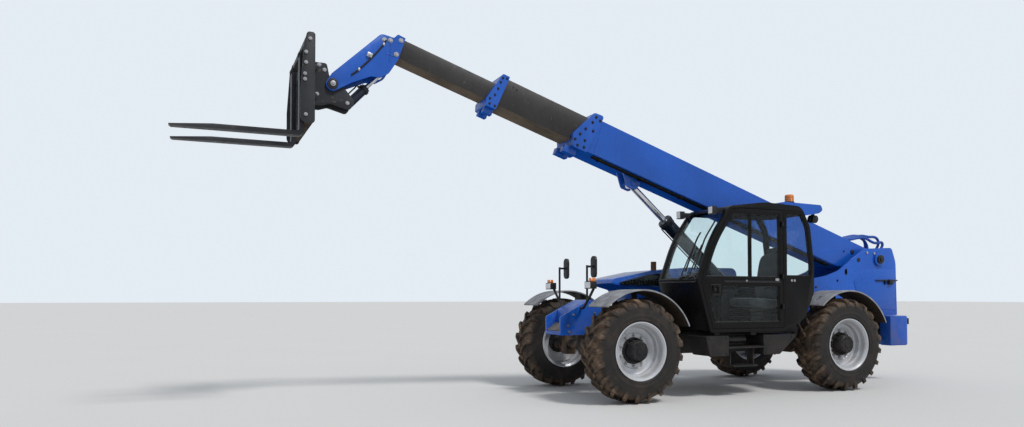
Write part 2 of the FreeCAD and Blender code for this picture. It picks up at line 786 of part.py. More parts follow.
def door():
    panel = door_region(CAB_WALL, 0)
    glass = []
    pane_y = CAB_OUTER_Y - CAB_WALL / 2
    for boxes in DOOR_WINDOWS:
        panel = panel.cut(door_window(boxes, CAB_OUTER_Y - CAB_WALL - 1, CAB_OUTER_Y + 1))
        glass.append(door_window(boxes, pane_y, pane_y + GLASS_THICKNESS))
    leaves = []
    for z in (1050, 1420, 2060):
        leaves.append(rod(HINGE_PIN_X, HINGE_PIN_Y, z, HINGE_RADIUS, 60, (0, 0, 1)))
        leaves.append(block(HINGE_PIN_X, DOOR_REAR_X + 40, CAB_OUTER_Y, HINGE_PIN_Y + 8, z, z + 60))
    grip = block(2010, 2100, CAB_OUTER_Y, CAB_OUTER_Y + 12, 1240, 1330)
    write("door_frame", [join([panel] + leaves + [grip])])
    write("door_glass", glass)


def cab_inside():
    floor = CAB_FLOOR + CAB_WALL
    middle = (CAB_INNER_Y + CAB_OUTER_Y) / 2
    base = block(1060, 1380, middle - 200, middle + 200, floor, floor + 230)
    cushion = block(900, 1400, middle - 240, middle + 240, floor + 230, floor + 360)
    back = plate(((880, floor + 330, 40), (1000, floor + 330, 40), (860, floor + 1000, 50), (740, floor + 980, 50)),
                 middle - 230, middle + 230)
    write("operator_seat", [join([base, cushion, back])])
    column = plate(((1980, floor, 0), (2080, floor, 0), (1960, floor + 560, 0), (1890, floor + 540, 0)),
                   middle - 60, middle + 60)
    hub = Vector(1915, middle, floor + 560)
    lean = Vector(-0.35, 0, 0.94)
    grip = ((194, 0), (187, 12), (173, 12), (166, 0), (173, -12), (187, -12))
    wheel = faceted(grip, 0, 0, 0, RIM_SIDES)
    wheel.Placement = FreeCAD.Placement(hub + lean * 40, FreeCAD.Rotation(Vector(0, 1, 0), lean))
    spokes = [Part.makeCylinder(28, 60, hub - lean * 10, lean)]
    for angle in (90, 210, 330):
        turn = math.radians(angle)
        reach = Vector(0.94 * math.cos(turn), math.sin(turn), 0.35 * math.cos(turn))
        spokes.append(Part.makeCylinder(9, 176, hub + lean * 40, reach))
    write("steering_console", [join([column, wheel] + spokes)])


COWL_SHAPE = (
    (985, 2330, 0),
    (965, 2380, 20),
    (365, 2364, 35),
    (336, 2300, 30),
    (400, 2258, 30),
    (600, 2225, 30),
    (760, 2200, 0),
)
BEACON_X = 790
BEACON_Y = 940


def roof_cowl():
    cowl = plate(COWL_SHAPE, 430, 1040).cut(plate(CAB_SHAPE, 0, 1500))
    write("roof_cowl", [cowl])


def cab_lamps():
    body = plate(CAB_SHAPE, 0, 1500)
    lamps = []
    for y in (370, 1010):
        lamp = block(1995, 2062, y - 42, y + 42, 2184, 2276)
        foot = block(1820, 2000, y - 12, y + 12, 2200, 2262)
        lamps.append(join([lamp, foot]).cut(body))
    rear_lamp = rod(372, 950, 2192, 50, 86, (1, 0, 0))
    hanger = block(405, 425, 930, 970, 2192, 2300).cut(plate(COWL_SHAPE, 430, 1040))
    lamps.append(join([rear_lamp, hanger]))
    write("cab_lamps", lamps)
    foot = rod(BEACON_X, BEACON_Y, 2350, 60, 44, (0, 0, 1)).cut(plate(COWL_SHAPE, 430, 1040))
    dome = rod(BEACON_X, BEACON_Y, 2394, 55, 92, (0, 0, 1))
    dome = dome.makeFillet(16, [e for e in dome.Edges if e.CenterOfMass.z > 2480])
    write("beacon", [join([foot, dome])])


def nose_stalks():
    x = WHEELBASE + 272
    pieces = []
    for side in (1, -1):
        foot = NOSE_HALF_WIDTH + SEAT_GAP
        path = ((x, side * foot, 1062), (x, side * 265, 1062), (x, side * 420, 1190), (x, side * 530, 1300))
        bracket = tube(path, 16, 50)
        lamp = block(x + 3, x + 83, side * 455, side * 605, 1295, 1380)
        post = rod(x, side * 365, 1140, 13, 438, (0, 0, 1))
        arm = block(x - 100, x + 10, side * 356, side * 374, 1550, 1575)
        mirror = block(x - 108, x - 84, side * 300, side * 420, 1430, 1690)
        mirror = mirror.makeFillet(55, [e for e in mirror.Edges if is_lengthwise(e)])
        pieces.append(join([bracket, lamp, post, arm, mirror]))
    write("nose_lamps_mirrors", pieces)


# Boom

BASE_SHAPE = (
    # along the boom, up from its axis, corner radius
    (-115, -115, 100),
    (-115, 90, 60),
    (30, BASE_TOP, 60),
    (BASE_FRONT, BASE_TOP, 0),
    (BASE_FRONT, BASE_BOTTOM, 0),
    (620, BASE_BOTTOM, 200),
)
BASE_HOLLOW = (
    (260, -160, 0),
    (260, BASE_TOP - BOOM_WALL, 0),
    (BASE_FRONT + 1, BASE_TOP - BOOM_WALL, 0),
    (BASE_FRONT + 1, BASE_BOTTOM + BOOM_WALL, 0),
    (640, BASE_BOTTOM + BOOM_WALL, 0),
)
BASE_CHEEK = (
    (-105, -100, 90),
    (-105, 80, 60),
    (30, BASE_TOP - 12, 60),
    (260, BASE_TOP - 12, 30),
    (1084, BASE_BOTTOM + 10, 0),
    (620, BASE_BOTTOM + 10, 190),
)
COLLAR_SHAPE = (
    (COLLAR_REAR - 5, 175, 30),
    (4935, 165, 40),
    (5135, -195, 40),
    (5080, -345, 30),
    (4885, -345, 20),
)
MID_COLLAR_SHAPE = (
    (6095, 118, 15),
    (6189, 118, 25),
    (6290, -240, 30),
    (6270, -320, 20),
    (6142, -320, 20),
)


def boom_base():
    box = plate(BASE_SHAPE, -BASE_HALF_WIDTH, BASE_HALF_WIDTH)
    box = box.cut(plate(BASE_HOLLOW, BOOM_WALL - BASE_HALF_WIDTH, BASE_HALF_WIDTH - BOOM_WALL))
    passage = block(4000, 6000, -MID_HALF_WIDTH - SEAT_GAP, MID_HALF_WIDTH + SEAT_GAP,
                    MID_BOTTOM - SEAT_GAP, MID_TOP + SEAT_GAP)
    collar = plate(COLLAR_SHAPE, -COLLAR_HALF_WIDTH, COLLAR_HALF_WIDTH).cut(passage)
    cheeks = both_sides(plate(BASE_CHEEK, BASE_HALF_WIDTH, BASE_HALF_WIDTH + BOOM_WALL))
    guides = both_sides(block(4990, 5160, 60, 150, -420, -340))
    bushing = cross_rod(0, 0, 105, RAIL_OUTER_Y - SIDE_GAP)
    ear_shape = ((LIFT_EYE_S - 115, BASE_BOTTOM + 5, 0), (LIFT_EYE_S + 190, BASE_BOTTOM + 5, 0),
                 (LIFT_EYE_S + 70, LIFT_EYE_H - 75, 50), (LIFT_EYE_S - 70, LIFT_EYE_H - 75, 50))
    ears = both_sides(plate(ear_shape, 62, 84))
    pin = cross_rod(LIFT_EYE_S, LIFT_EYE_H, LIFT_PIN_RADIUS, 96)
    whole = join([box, collar, bushing, pin] + cheeks + guides + ears)
    whole = whole.cut(cross_rod(0, 0, PIVOT_PIN_RADIUS + PIN_GAP, 400))
    write("boom_base", [raise_boom(whole)])


def boom_pipes():
    pieces = []
    for y in (105, 150):
        pipe = rod(720, y, BASE_BOTTOM - 15, 13, COLLAR_REAR - 760, (1, 0, 0))
        pieces.append(pipe)
    for s in range(800, COLLAR_REAR - 100, 640):
        pieces.append(block(s, s + 40, 85, 170, BASE_BOTTOM - 30, BASE_BOTTOM))
    write("boom_pipes", [raise_boom(join(pieces))])


def boom_mid():
    box = ring_section(MID_REAR, MID_FRONT, MID_HALF_WIDTH, MID_TOP, MID_BOTTOM,
                       MID_HALF_WIDTH - BOOM_WALL, MID_TOP - BOOM_WALL, MID_BOTTOM + BOOM_WALL)
    pad = ring_section(MID_REAR, MID_REAR + PAD_LENGTH, BASE_HALF_WIDTH - BOOM_WALL - SEAT_GAP,
                       BASE_TOP - BOOM_WALL - SEAT_GAP, BASE_BOTTOM + BOOM_WALL + SEAT_GAP,
                       MID_HALF_WIDTH - BOOM_WALL, MID_TOP - BOOM_WALL, MID_BOTTOM + BOOM_WALL)
    write("boom_mid", [raise_boom(join([box, pad]))])
    collar = plate(MID_COLLAR_SHAPE, -MID_COLLAR_HALF_WIDTH, MID_COLLAR_HALF_WIDTH)
    collar = join([collar] + both_sides(block(6150, 6260, 50, 120, -385, -315)))
    collar = collar.cut(block(6000, 7000, -TIP_HALF_WIDTH - SEAT_GAP, TIP_HALF_WIDTH + SEAT_GAP,
                              TIP_BOTTOM - SEAT_GAP, TIP_TOP + SEAT_GAP))
    collar = collar.cut(block(6000, MID_FRONT, -MID_HALF_WIDTH, MID_HALF_WIDTH, MID_BOTTOM, MID_TOP))
    write("mid_collar", [raise_boom(collar)])


def boom_tip():
    box = ring_section(TIP_REAR, TIP_FRONT, TIP_HALF_WIDTH, TIP_TOP, TIP_BOTTOM,
                       TIP_HALF_WIDTH - BOOM_WALL, TIP_TOP - BOOM_WALL, TIP_BOTTOM + BOOM_WALL)
    pad = ring_section(TIP_REAR, TIP_REAR + PAD_LENGTH, MID_HALF_WIDTH - BOOM_WALL - SEAT_GAP,
                       MID_TOP - BOOM_WALL - SEAT_GAP, MID_BOTTOM + BOOM_WALL + SEAT_GAP,
                       TIP_HALF_WIDTH - BOOM_WALL, TIP_TOP - BOOM_WALL, TIP_BOTTOM + BOOM_WALL)
    write("boom_tip", [raise_boom(join([box, pad]))])


HEAD_SHAPE = (
    # along the boom, up from its axis, corner radius
    (TIP_FRONT, 8, 20),
    (7472, 12, 15),
    (7502, -45, 15),
    (7645, -62, 70),
    (7998, -712, 60),
    (NOSE_PIN_S + 80, NOSE_PIN_H - 40, 70),
    (NOSE_PIN_S - 20, NOSE_PIN_H - 88, 70),
    (7774, -720, 80),
    (7600, -560, 80),
    (7500, -530, 60),
    (7425, -440, 60),
    (7385, -275, 40),
    (TIP_FRONT, -250, 0),
)
HEAD_MOUTH = (
    (7385, -245, 0),
    (7640, -245, 0),
    (7760, -430, 0),
    (8100, -560, 0),
    (8200, -1100, 0),
    (7385, -1100, 0),
)


def boom_head():
    body = plate(HEAD_SHAPE, -HEAD_HALF_WIDTH, HEAD_HALF_WIDTH)
    inner_half = HEAD_HALF_WIDTH - HEAD_PLATE
    hollow = plate(HEAD_SHAPE, -inner_half, inner_half)
    hollow.translate(Vector(-20, 0, -28))
    mouth = plate(HEAD_MOUTH, -inner_half, inner_half)
    plug = block(TIP_FRONT, TIP_FRONT + 60, -HEAD_HALF_WIDTH, HEAD_HALF_WIDTH, -250, 8)
    whole = join([body.cut(hollow).cut(mouth), plug])
    for side in (1, -1):
        whole = whole.fuse(rod(EAR_S, side * 70, EAR_H, 34, 55, (0, side, 0)))
    whole = whole.cut(cross_rod(NOSE_PIN_S, NOSE_PIN_H, NOSE_PIN_RADIUS + PIN_GAP, 300))
    write("boom_head", [raise_boom(whole.removeSplitter())])


NOSE_PIN = boom_point(NOSE_PIN_S, NOSE_PIN_H)
HEAD_EAR = boom_point(EAR_S, EAR_H)
ARM_EYE = NOSE_PIN + Vector(COUPLER_ARM[0], 0, COUPLER_ARM[1])
LIFT_EYE = boom_point(LIFT_EYE_S, LIFT_EYE_H)
LIFT_FOOT = Vector(LIFT_FOOT_X, 0, LIFT_FOOT_Z)


COUPLER_SHAPE = (
    # x and z from the nose pin, corner radius
    (-245, -165, 45),
    (-190, -262, 45),
    (20, -205, 60),
    (110, -235, 30),
    (COUPLER_FRONT, -235, 15),
    (COUPLER_FRONT, 225, 15),
    (60, 225, 30),
    (30, 80, 50),
    (-70, 50, 50),
)


def coupler():
    x = NOSE_PIN.x
    z = NOSE_PIN.z
    side_shape = [(x + dx, z + dz, radius) for dx, dz, radius in COUPLER_SHAPE]
    high_y = HEAD_HALF_WIDTH - HEAD_PLATE - SIDE_GAP
    low_y = high_y - COUPLER_PLATE
    pieces = both_sides(plate(side_shape, low_y, high_y))
    pieces.append(cross_rod(x, z, NOSE_PIN_RADIUS, HEAD_HALF_WIDTH + 14))
    pieces.append(cross_rod(ARM_EYE.x, ARM_EYE.z, TILT_PIN_RADIUS, high_y))
    front = x + COUPLER_FRONT
    pieces.append(block(front - 30, front, -low_y, low_y, z - 225, z + 215))
    for height in (-150, 160):
        pieces.append(cross_rod(front - 60, z + height, 32, high_y + 40))
    for side in (1, -1):
        pieces.append(rod(x, side * high_y, z, 62, SIDE_GAP - SEAT_GAP, (0, side, 0)))
        pieces.append(rod(x, side * (HEAD_HALF_WIDTH + SEAT_GAP), z, 58, 14, (0, side, 0)))
    write("coupler", [join(pieces)])


def fork_carriage():
    back = NOSE_PIN.x + COUPLER_FRONT
    front = back + CARRIAGE_DEPTH
    half = CARRIAGE_HALF_WIDTH
    pieces = [
        block(back, front, -half, half, 3560, 3650),
        block(back, front, -half, half, 2980, 3080),
        block(back + 20, front, -half, half, CARRIAGE_TOP - 50, CARRIAGE_TOP),
    ]
    for side in (1, -1):
        pieces.append(block(back, front, side * 190, side * 230, 2980, 3650))
        end = plate(((back, 2950, 30), (front + 60, 2950, 60), (front + 60, 3300, 200), (front + 30, 3750, 60),
                     (front, CARRIAGE_TOP + 20, 30), (back, CARRIAGE_TOP + 20, 30)),
                    side * half, side * (half + 20))
        pieces.append(end)
    step = 2 * half / (BAR_COUNT + 1)
    for i in range(1, BAR_COUNT + 1):
        y = -half + i * step
        pieces.append(block(back + 12, back + 37, y - 12, y + 12, 3020, CARRIAGE_TOP - 20))
    write("fork_carriage", [join(pieces)])


def forks():
    back = NOSE_PIN.x + COUPLER_FRONT + CARRIAGE_DEPTH
    shank = back + FORK_THICKNESS
    profile = (
        (back, FORK_BOTTOM + 30, 40),
        (back + 30, FORK_BOTTOM, 40),
        (FORK_TIP_X - 20, FORK_BOTTOM, 0),
        (FORK_TIP_X, FORK_BOTTOM + 14, 0),
        (FORK_TIP_X - 400, FORK_BOTTOM + FORK_THICKNESS, 0),
        (shank, FORK_BOTTOM + FORK_THICKNESS, 25),
        (shank, 3690, 10),
        (back - 40, 3690, 10),
        (back - 40, 3650, 0),
        (back, 3650, 0),
    )
    pair = []
    for side in (1, -1):
        inner = side * (FORK_HALF_SPREAD - FORK_WIDTH / 2)
        pair.append(plate(profile, inner, inner + side * FORK_WIDTH))
    write("forks", pair)


# Cylinders

def lift_cylinder():
    length = (LIFT_EYE - LIFT_FOOT).Length
    gland = length - LIFT_GLAND_TO_EYE
    half_eye = 56
    barrel = rod(110, 0, 0, LIFT_BARREL_RADIUS, gland - 110, (1, 0, 0))
    collar = rod(gland - 90, 0, 0, LIFT_GLAND_RADIUS, 90, (1, 0, 0))
    shank = rod(0, 0, 0, 50, 120, (1, 0, 0))
    eye = cross_rod(0, 0, 75, half_eye)
    whole = join([barrel, collar, shank, eye])
    whole = whole.cut(rod(150, 0, 0, LIFT_BORE_RADIUS, gland - 210, (1, 0, 0)))
    whole = whole.cut(rod(gland - 80, 0, 0, LIFT_ROD_RADIUS + PIN_GAP, 100, (1, 0, 0)))
    whole = whole.cut(cross_rod(0, 0, 45, 100))
    write("lift_barrel", [lay_along(whole, LIFT_FOOT, LIFT_EYE)])
    stem = rod(LIFT_PISTON_AT, 0, 0, LIFT_ROD_RADIUS, length - LIFT_PISTON_AT, (1, 0, 0))
    piston = rod(LIFT_PISTON_AT, 0, 0, LIFT_BORE_RADIUS - PIN_GAP, 60, (1, 0, 0))
    rod_eye = cross_rod(length, 0, 62, half_eye)
    whole = join([stem, piston, rod_eye]).cut(cross_rod(length, 0, LIFT_PIN_RADIUS + PIN_GAP, 100))
    write("lift_rod", [lay_along(whole, LIFT_FOOT, LIFT_EYE)])


def tilt_cylinder():
    length = (HEAD_EAR - ARM_EYE).Length
    gland = length - TILT_GLAND_TO_EYE
    half_eye = 60
    barrel = rod(30, 0, 0, TILT_BARREL_RADIUS, gland - 30, (1, 0, 0))
    eye = cross_rod(0, 0, 45, half_eye)
    whole = join([barrel, eye])
    whole = whole.cut(rod(TILT_BORE_START, 0, 0, TILT_BORE_RADIUS, gland - TILT_BORE_END - TILT_BORE_START, (1, 0, 0)))
    whole = whole.cut(rod(gland - 20, 0, 0, TILT_ROD_RADIUS + PIN_GAP, 40, (1, 0, 0)))
    whole = whole.cut(cross_rod(0, 0, TILT_PIN_RADIUS + PIN_GAP, 100))
    write("tilt_barrel", [lay_along(whole, ARM_EYE, HEAD_EAR)])
    stem = rod(TILT_PISTON_AT, 0, 0, TILT_ROD_RADIUS, length - TILT_PISTON_AT, (1, 0, 0))
    piston = rod(TILT_PISTON_AT, 0, 0, TILT_BORE_RADIUS - PIN_GAP, 16, (1, 0, 0))
    rod_eye = cross_rod(length, 0, 40, 45)
    whole = join([stem, piston, rod_eye]).cut(cross_rod(length, 0, 26, 100))
    write("tilt_rod", [lay_along(whole, ARM_EYE, HEAD_EAR)])


os.makedirs("parts", exist_ok=True)
running_gear()
chassis_frame()
front_nose()
boom_tower()
counterweight()
side_steps()
engine_block()
engine_hood()
hood_fittings()
cab()
door()
cab_inside()
roof_cowl()
cab_lamps()
nose_stalks()
boom_base()
boom_pipes()
boom_mid()
boom_tip()
boom_head()
coupler()
fork_carriage()
forks()
lift_cylinder()
tilt_cylinder()
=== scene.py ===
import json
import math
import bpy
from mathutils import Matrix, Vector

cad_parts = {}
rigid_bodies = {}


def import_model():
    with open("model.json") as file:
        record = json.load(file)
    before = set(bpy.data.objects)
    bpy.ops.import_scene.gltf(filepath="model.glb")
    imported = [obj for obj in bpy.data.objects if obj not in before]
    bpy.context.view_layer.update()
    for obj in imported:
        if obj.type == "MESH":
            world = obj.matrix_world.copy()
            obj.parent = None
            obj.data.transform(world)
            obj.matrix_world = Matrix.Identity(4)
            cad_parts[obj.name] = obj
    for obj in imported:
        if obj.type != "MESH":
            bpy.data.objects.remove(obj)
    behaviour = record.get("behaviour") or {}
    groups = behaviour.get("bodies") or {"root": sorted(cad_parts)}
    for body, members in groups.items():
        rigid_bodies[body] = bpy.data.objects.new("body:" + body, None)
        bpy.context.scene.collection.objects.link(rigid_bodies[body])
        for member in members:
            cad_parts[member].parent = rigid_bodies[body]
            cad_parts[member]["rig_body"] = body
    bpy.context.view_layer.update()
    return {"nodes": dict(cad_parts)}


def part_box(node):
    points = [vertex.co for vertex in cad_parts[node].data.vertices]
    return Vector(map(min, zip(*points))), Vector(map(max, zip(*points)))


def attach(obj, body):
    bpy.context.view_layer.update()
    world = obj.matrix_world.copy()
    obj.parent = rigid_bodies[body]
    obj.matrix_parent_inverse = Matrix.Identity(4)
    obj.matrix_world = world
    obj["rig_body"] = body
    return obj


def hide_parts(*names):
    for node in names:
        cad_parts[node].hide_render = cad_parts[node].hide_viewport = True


bl_info = {
    "name": "Telescopic Handler Dressing",
    "version": (1, 0, 0),
    "blender": (4, 5, 0),
    "location": "View3D > Sidebar > Handler",
    "description": "Builds the finished look of a telescopic handler round its frame",
    "category": "Object",
}

import bmesh
import bpy
from mathutils import Matrix, Vector

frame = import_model()
WHEELS = ("front_left", "front_right", "rear_left", "rear_right")


def middle(node):
    """Centre of a node's box."""
    low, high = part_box(node)
    return (low + high) / 2


# Places and sizes in metres that the whole script works from
REAR_AXLE = middle("rim_rear_left").x
TYRE_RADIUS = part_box("tyre_rear_left")[1].z / 2
BOOM_ANGLE = math.radians(18.5)
BOOM_PIVOT = Vector((REAR_AXLE - 1.45, 0, 1.74))
BOOM = Matrix.Translation(BOOM_PIVOT) @ Matrix.Rotation(-BOOM_ANGLE, 4, "Y")
CREASE = math.radians(32)
MERGE = 0.00005
SHORT_EDGE = 0.0038

# Distances to the left in millimetres
TOWER_SIDE = 315
SEAT_LINE = 689
DOOR_FACE = 1090

# Directions
FRONT = Vector((1, 0, 0))
LEFT = Vector((0, 1, 0))
UP = Vector((0, 0, 1))


def mm(x, y, z):
    """Point in millimetres from the ground under the rear axle."""
    return Vector((REAR_AXLE + x / 1000, y / 1000, z / 1000))


def side_row(y, places):
    """Points in one plane along the machine, from pairs of length and height in millimetres."""
    return [mm(x, y, z) for x, z in places]


def boom_mm(s, y, h):
    """Point in millimetres along, across and above the boom."""
    return BOOM @ Vector((s / 1000, y / 1000, h / 1000))


def boom_row(y, places):
    """Points in one plane along the boom, from pairs of length and height in millimetres."""
    return [boom_mm(s, y, h) for s, h in places]


def at(x, y, z):
    """Shift to a point in millimetres from the ground under the rear axle."""
    return Matrix.Translation(mm(x, y, z))


def pitch(degrees):
    """Turn about the axis across the machine."""
    return Matrix.Rotation(math.radians(degrees), 4, "Y")


# Sizes and colours that a user may change


def colour(name, description, value):
    """Colour setting."""
    return bpy.props.FloatVectorProperty(
        name=name, description=description, default=value, size=3, min=0, max=1, subtype="COLOR")


def number(name, description, value, unit="NONE"):
    """Number setting, from 0 up."""
    return bpy.props.FloatProperty(name=name, description=description, default=value, min=0, unit=unit)


class HandlerPaint(bpy.types.PropertyGroup):
    """Colours of the machine."""

    blue: colour("Blue", "Paint of the chassis, tower and boom", (0.010, 0.088, 0.43))
    boom_grey: colour("Boom grey", "Paint of the sliding boom sections", (0.035, 0.0325, 0.032))
    cab_black: colour("Cab black", "Paint of the cab and door", (0.0045, 0.0042, 0.0042))
    carriage: colour("Carriage", "Paint of the coupler and fork carriage", (0.026, 0.028, 0.032))
    rim_silver: colour("Rim silver", "Paint of the wheel rims", (0.5, 0.51, 0.53))
    guard_grey: colour("Mudguard grey", "Moulded mudguards", (0.27, 0.275, 0.29))
    rubber: colour("Rubber", "Tyre rubber", (0.015, 0.0143, 0.014))
    dust: colour("Dust", "Dry dust", (0.30, 0.235, 0.17))
    mud: colour("Mud", "Dried mud", (0.13, 0.085, 0.055))


class HandlerSizes(bpy.types.PropertyGroup):
    """Sizes of the added pieces."""

    lug_count: bpy.props.IntProperty(
        name="Lugs", description="Lugs round each half of a tyre", default=21, min=8)
    nut_count: bpy.props.IntProperty(
        name="Wheel nuts", description="Nuts round each hub", default=10, min=4)
    bolt_radius: number("Bolt radius", "Across the corners of a bolt head, halved", 0.016, "LENGTH")


class HandlerStudio(bpy.types.PropertyGroup):
    """Camera, lamps and floor."""

    lens: number("Lens", "Focal length in millimetres", 26.755)
    shift: number("Shift", "Upward shift of the picture", 0.0618)
    sun: number("Sun", "Strength of the soft sun", 2.1)
    sky: number("Sky", "Strength of the sky's light", 0.62)
    floor: colour("Floor", "Plain floor", (0.6, 0.59, 0.57))


# Finishes


class Recipe:
    """Node tree of one finish while it is put together."""

    def __init__(self, name):
        self.material = bpy.data.materials.new(name)
        self.material.use_nodes = True
        self.tree = self.material.node_tree
        self.shader = self.tree.nodes["Principled BSDF"]
        texture = self.add("ShaderNodeTexCoord")
        self.place = texture.outputs["Object"]
        self.normal = texture.outputs["Normal"]

    def add(self, kind, **settings):
        """New node with its settings."""
        node = self.tree.nodes.new(kind)
        for key, value in settings.items():
            setattr(node, key, value)
        return node

    def feed(self, socket, value):
        """Link or number into a socket."""
        if isinstance(value, bpy.types.NodeSocket):
            self.tree.links.new(value, socket)
        else:
            socket.default_value = value

    def noise(self, scale, detail=4.0, stretch=None):
        """Cloudy pattern, from 0 to 1."""
        node = self.add("ShaderNodeTexNoise")
        node.inputs["Scale"].default_value = scale
        node.inputs["Detail"].default_value = detail
        place = self.place
        if stretch:
            mapping = self.add("ShaderNodeMapping")
            mapping.inputs["Scale"].default_value = stretch
            self.feed(mapping.inputs["Vector"], place)
            place = mapping.outputs["Vector"]
        self.feed(node.inputs["Vector"], place)
        return node.outputs["Fac"]

    def span(self, value, low, high, to_low=0.0, to_high=1.0):
        """Value spread from one range to another."""
        node = self.add("ShaderNodeMapRange")
        self.feed(node.inputs["Value"], value)
        for key, number in (("From Min", low), ("From Max", high), ("To Min", to_low), ("To Max", to_high)):
            node.inputs[key].default_value = number
        return node.outputs["Result"]

    def pair(self, node, first, second, output):
        """Result of a node that works on two inputs."""
        self.feed(node.inputs[0], first)
        self.feed(node.inputs[1], second)
        return node.outputs[output]

    def plus(self, first, second):
        """Sum of two values, at most 1."""
        node = self.add("ShaderNodeMath", operation="ADD", use_clamp=True)
        return self.pair(node, first, second, "Value")

    def times(self, first, second):
        """Product of two values, at most 1."""
        node = self.add("ShaderNodeMath", operation="MULTIPLY", use_clamp=True)
        return self.pair(node, first, second, "Value")

    def vector(self, kind, first, second, output="Vector"):
        """Arithmetic on two places or directions."""
        return self.pair(self.add("ShaderNodeVectorMath", operation=kind), first, second, output)

    def mix(self, share, first, second):
        """Two colours mixed by a share."""
        node = self.add("ShaderNodeMix", data_type="RGBA")
        self.feed(node.inputs["Factor"], share)
        self.feed(node.inputs[6], first)
        self.feed(node.inputs[7], second)
        return node.outputs[2]

    def axis(self, output, letter):
        """One coordinate of a place or a direction."""
        node = self.add("ShaderNodeSeparateXYZ")
        self.feed(node.inputs[0], output)
        return node.outputs[letter]

    def facing_up(self, low, high):
        """Share by which a surface faces up, spread from one slope to another."""
        return self.span(self.axis(self.normal, "Z"), low, high)

    def bump(self, height, depth, strength=0.5):
        """Relief of the surface."""
        node = self.add("ShaderNodeBump")
        node.inputs["Strength"].default_value = strength
        node.inputs["Distance"].default_value = depth
        self.feed(node.inputs["Height"], height)
        self.drive("Normal", node.outputs["Normal"])

    def drive(self, key, value):
        """Link into one of the shader's sockets."""
        self.feed(self.shader.inputs[key], value)

    def set(self, **values):
        """Numbers straight on the shader's sockets."""
        for key, value in values.items():
            self.shader.inputs[key.replace("_", " ")].default_value = value


def rgba(values, scale=1.0):
    """Colour as four numbers, made lighter or darker."""
    return tuple(min(1.0, part * scale) for part in values) + (1.0,)


def paint(name, base, rough, mottle=0.12, dust=0.5, mud=0.8, mud_top=1.0, grain=0.0006, metal=0.0, coat=0.0,
          under=0.0, chips=0.0, shine=0.25):
    """Painted steel: cloudy colour, dust on top, streaks, worn spots, mud splashed low, and a painted
    reflection of the sunlit ground, in the dust colour, on the faces that look down.
    """
    colours = bpy.context.scene.handler_paint
    recipe = Recipe(name)
    cloud = recipe.span(recipe.noise(1.4, 6), 0.35, 0.65)
    shade = recipe.mix(cloud, rgba(base, 1 - mottle), rgba(base, 1 + mottle))
    up = recipe.facing_up(0.4, 1.0)
    film = recipe.span(recipe.noise(5, 8), 0.35, 0.75)
    dust_and_ground_reflection = recipe.times(recipe.times(up, film), dust)
    streaks = recipe.span(recipe.noise(1.0, 8, stretch=(26, 26, 1.5)), 0.58, 0.8)
    dust_and_ground_reflection = recipe.plus(dust_and_ground_reflection, recipe.times(streaks, dust * 0.35))
    height = recipe.axis(recipe.place, "Z")
    low = recipe.span(height, mud_top, mud_top - 0.75)
    splash = recipe.span(recipe.noise(7, 10), 0.42, 0.62)
    muddy = recipe.times(recipe.times(low, splash), mud)
    # Painted reflection: faces that look down get the dust colour in patches, standing in for light thrown
    # up from the sunlit ground. From here on the dust share also holds this painted reflection.
    if under > 0:
        down = recipe.facing_up(-0.5, -0.95)
        reflection_patches = recipe.span(recipe.noise(2.2, 8), 0.3, 0.6, 0.35, 1.0)
        dust_and_ground_reflection = recipe.plus(dust_and_ground_reflection, recipe.times(recipe.times(down, reflection_patches), under))
    if chips > 0:
        spots = recipe.span(recipe.noise(22, 12), 0.66, 0.7, 0, chips)
        shade = recipe.mix(spots, shade, (0.10, 0.075, 0.06, 1))
    shade = recipe.mix(dust_and_ground_reflection, shade, rgba(colours.dust))
    shade = recipe.mix(muddy, shade, rgba(colours.mud, 1.4))
    recipe.drive("Base Color", shade)
    dirt_and_ground_reflection = recipe.plus(dust_and_ground_reflection, muddy)
    smear = recipe.span(recipe.noise(14, 6), 0.3, 0.7, rough - 0.07, rough + 0.09)
    worn = recipe.span(dirt_and_ground_reflection, 0, 1, 0, 0.92 - rough)
    recipe.drive("Roughness", recipe.plus(smear, worn))
    recipe.bump(recipe.plus(recipe.noise(160, 3), muddy), grain)
    clean = recipe.facing_up(-0.8, -0.2)
    recipe.drive("Specular IOR Level", recipe.times(clean, shine))
    recipe.drive("Coat Weight", recipe.times(clean, coat))
    recipe.set(Metallic=metal, Coat_Roughness=0.25)
    return recipe.material


def chrome():
    """Polished cylinder rod with faint rings and an oily film."""
    recipe = Recipe("chrome_rod")
    rings = recipe.span(recipe.noise(3, 6), 0.3, 0.7, 0.1, 0.28)
    recipe.drive("Roughness", rings)
    oil = recipe.span(recipe.noise(9, 5), 0.5, 0.7)
    tint = recipe.mix(oil, (0.74, 0.75, 0.77, 1), (0.5, 0.45, 0.38, 1))
    recipe.drive("Base Color", tint)
    recipe.set(Metallic=1.0)
    return recipe.material


def mirror():
    """Silvered mirror with a little dust."""
    recipe = Recipe("mirror_glass")
    recipe.drive("Roughness", recipe.span(recipe.noise(12, 6), 0.5, 0.8, 0.03, 0.2))
    recipe.drive("Base Color", recipe.mix(recipe.noise(9, 4), (0.8, 0.82, 0.84, 1), (0.7, 0.71, 0.72, 1)))
    recipe.set(Metallic=1.0)
    return recipe.material


def glass():
    """Tinted safety glass with a thin film of dust."""
    recipe = Recipe("cab_glass")
    smear = recipe.span(recipe.noise(6, 8), 0.45, 0.8, 0.0, 0.1)
    recipe.drive("Roughness", smear)
    recipe.set(Base_Color=(0.84, 0.93, 0.935, 1), Transmission_Weight=1.0, IOR=1.25)
    return recipe.material


